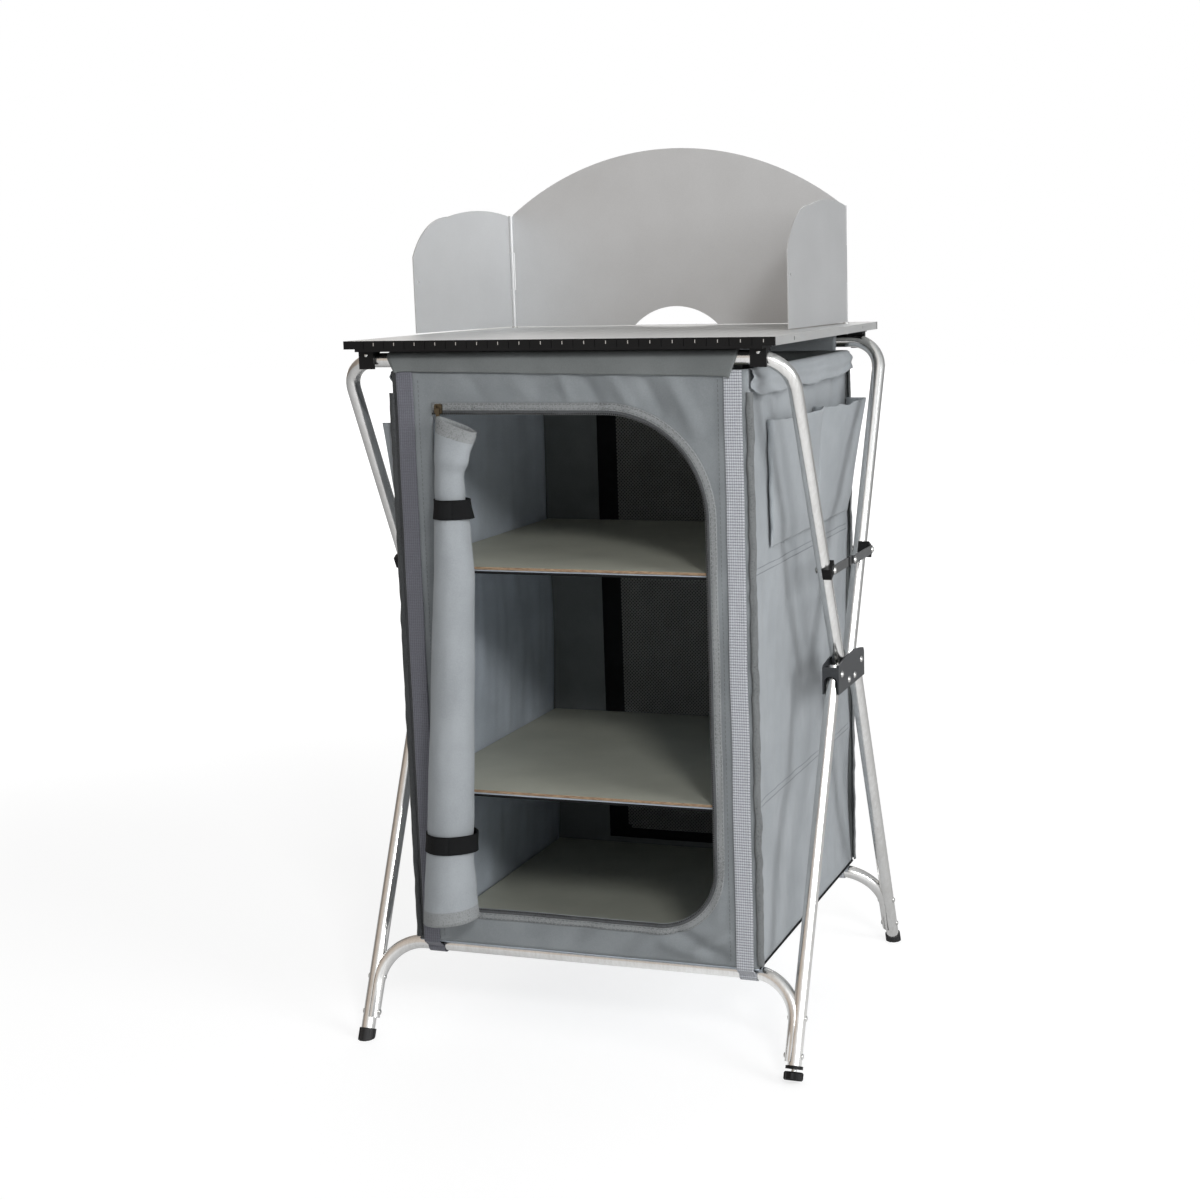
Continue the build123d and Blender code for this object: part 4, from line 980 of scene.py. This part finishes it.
for side, name in sides.items():
    heads = bmesh.new()
    for hand in hands:
        for reach in crossRivet["reaches"]:
            y = side * (leg["footY"] - reach * sin(leg["lean"]))
            z = reach * cos(leg["lean"])
            inner, outer = leg["x"] - leg["inset"] - leg["radius"], leg["x"] + leg["radius"]
            for x, out in ((inner, -hand), (outer, hand)):
                addDome(heads, Vector((hand * x, y, z)), Vector((out, 0, 0)), crossRivet["radius"],
                        crossRivet["height"])
    settle(heads, f"{name}CrossRivets", [rivetSteel], body=f"lower_{name}")

# bright staples on the front and rear end caps, one on each slat but the first
slat = {"pitch": 25.0, "count": 20}
staple = {"width": 0.9, "upright": (224.0, 806.2, 0.5, 3.4), "flat": (223.0, 810.05, 2.4, 0.3)}
staples = bmesh.new()
for index in range(1, slat["count"]):
    x = (index + 0.5 - slat["count"] / 2) * slat["pitch"]
    for side in sides:
        for y, z, depth, height in (staple["upright"], staple["flat"]):
            addBlock(staples, Vector((x, side * y, z)), (staple["width"], depth, height))
settle(staples, "capStaples", [rivetSteel], body="worktop", smooth=False)

# silver rivets on the hooks under the top
hookRivet = {"x": 228.0, "y": 213.6, "z": 794.0, "radius": 2.2, "height": 1.0}
hookHeads = bmesh.new()
for hand in hands:
    for side in sides:
        centre = Vector((hand * hookRivet["x"], side * hookRivet["y"], hookRivet["z"]))
        addDome(hookHeads, centre, Vector((0, side, 0)), hookRivet["radius"], hookRivet["height"])
settle(hookHeads, "hookRivets", [rivetSteel], body="worktop")

print("stage: studio")

# the camera's place in metres, its turns in radians, the rest in picture points and millimetres
view = {"place": (0.834672, -2.190633, 0.885762), "yaw": 0.318, "pitch": 0.176, "roll": -0.023,
        "focal": 1970.893, "axis": (723.636, 613.877), "picture": 1200.0, "sensor": 36.0}
flat = cos(view["pitch"])
ahead = Vector((-sin(view["yaw"]) * flat, cos(view["yaw"]) * flat, -sin(view["pitch"])))
level = ahead.cross(Vector((0, 0, 1))).normalized()
above = level.cross(ahead)
rightward = level * cos(view["roll"]) + above * sin(view["roll"])
upward = above * cos(view["roll"]) - level * sin(view["roll"])
camera = addObject("camera", bpy.data.cameras.new("camera"))
turn = Matrix((rightward, upward, -ahead)).transposed().to_4x4()
camera.matrix_world = Matrix.Translation(view["place"]) @ turn
camera.data.sensor_width = view["sensor"]
camera.data.lens = view["focal"] * view["sensor"] / view["picture"]
camera.data.shift_x = (view["picture"] / 2 - view["axis"][0]) / view["picture"]
camera.data.shift_y = (view["axis"][1] - view["picture"] / 2) / view["picture"]
camera.data.clip_end = 60
bpy.context.scene.camera = camera
bpy.context.scene.view_settings.view_transform = "Standard"

studio = {"ambient": 0.33, "floor": 14.0, "shadowShare": 0.4, "shadowFade": (1.0, 3.5), "floorWhite": 1.27,
          "mirrorSide": (0.586, -0.811, 0.0), "mirrorDark": 0.34, "mirrorBright": 1.12, "mirrorPower": 2.2,
          "leftTint": (1.0, 0.86, 0.74, 1), "rightTint": (0.97, 0.99, 1.0, 1), "lampAim": (0, 0, 0.45)}
lamps = [
    ("keyLamp", (3.8, -1.4, 1.8), 1.7, 84),
    ("doorLamp", (2.0, -3.0, 2.4), 0.6, 51),
    ("backLamp", (-0.8, 2.8, 2.6), 2.4, 28),
]
for name, spot, size, power in lamps:
    lamp = bpy.data.lights.new(name, "AREA")
    lamp.energy, lamp.size = power, size
    holder = addObject(name, lamp)
    holder.location = spot
    holder.rotation_mode = "QUATERNION"
    holder.rotation_quaternion = (Vector(studio["lampAim"]) - Vector(spot)).to_track_quat("-Z", "Y")


def mirrorLevel(nodes, direction):
    # how bright the room is that polished metal mirrors, by its direction
    facing = nodes.node("ShaderNodeVectorMath", {"operation": "DOT_PRODUCT"},
                        {0: direction, 1: studio["mirrorSide"]}, "Value")
    bright = (facing * 0.5 + 0.5).maths("POWER", studio["mirrorPower"])
    return bright * (studio["mirrorBright"] - studio["mirrorDark"]) + studio["mirrorDark"]


# white behind the object, a softer level on it, and for metal a pale room, warmer and dimmer on its left
world = bpy.data.worlds.new("studio")
bpy.context.scene.world = world
sky = Nodes(world)
direction = sky.node("ShaderNodeTexCoord", output="Generated")
across, _, up = sky.parts(direction)
rise = sky.node("ShaderNodeMapRange", {}, {"Value": up, "From Max": 0.7, "To Min": 0.82})
mirrored = rise * ((across * 7.5).sin() * 0.1 + mirrorLevel(sky, direction))
glossy = sky.ray("Glossy")
seen = sky.ray("Camera").maths("MAXIMUM", sky.ray("Transmission"))
softer = glossy * (mirrored - studio["ambient"]) + studio["ambient"]
strength = seen * (1 - softer) + softer
room = sky.blend(across.between(-0.75, 0.45), studio["leftTint"], studio["rightTint"])
colour = sky.blend(glossy, (1, 1, 1, 1), room)
light = sky.node("ShaderNodeBackground", {}, {"Color": colour, "Strength": strength})
sky.plug(sky.tree.nodes.new("ShaderNodeOutputWorld").inputs[0], light)

# a white floor that keeps the object's shadow, which fades out with the distance
floorPaint = Paint("studioFloor", Base_Color=(0.86, 0.86, 0.86, 1), Roughness=0.9)
place = floorPaint.place()
outward = floorPaint.node("ShaderNodeVectorMath", {"operation": "NORMALIZE"}, {0: place})
away = floorPaint.node("ShaderNodeVectorMath", {"operation": "LENGTH"}, {0: place}, "Value")
glossy = floorPaint.ray("Glossy")
seen = floorPaint.ray("Camera").maths("MAXIMUM", floorPaint.ray("Transmission"))
shine = glossy * (mirrorLevel(floorPaint, outward) - studio["floorWhite"]) + studio["floorWhite"]
shaded = (1 - away.between(*studio["shadowFade"])) * studio["shadowShare"]
glow = floorPaint.node("ShaderNodeEmission", {}, {"Color": (1, 1, 1, 1), "Strength": shine})
share = seen.maths("MAXIMUM", glossy) * (1 - shaded)
matt = Wire(floorPaint, floorPaint.shader.outputs[0])
mixed = floorPaint.node("ShaderNodeMixShader", {}, {0: share, 1: matt, 2: glow})
floorPaint.plug(floorPaint.out.inputs[0], mixed)
ground = bmesh.new()
bmesh.ops.create_grid(ground, x_segments=1, y_segments=1, size=studio["floor"])
newPiece(ground, "studioFloor", [floorPaint], smooth=False)

print("stage: done")
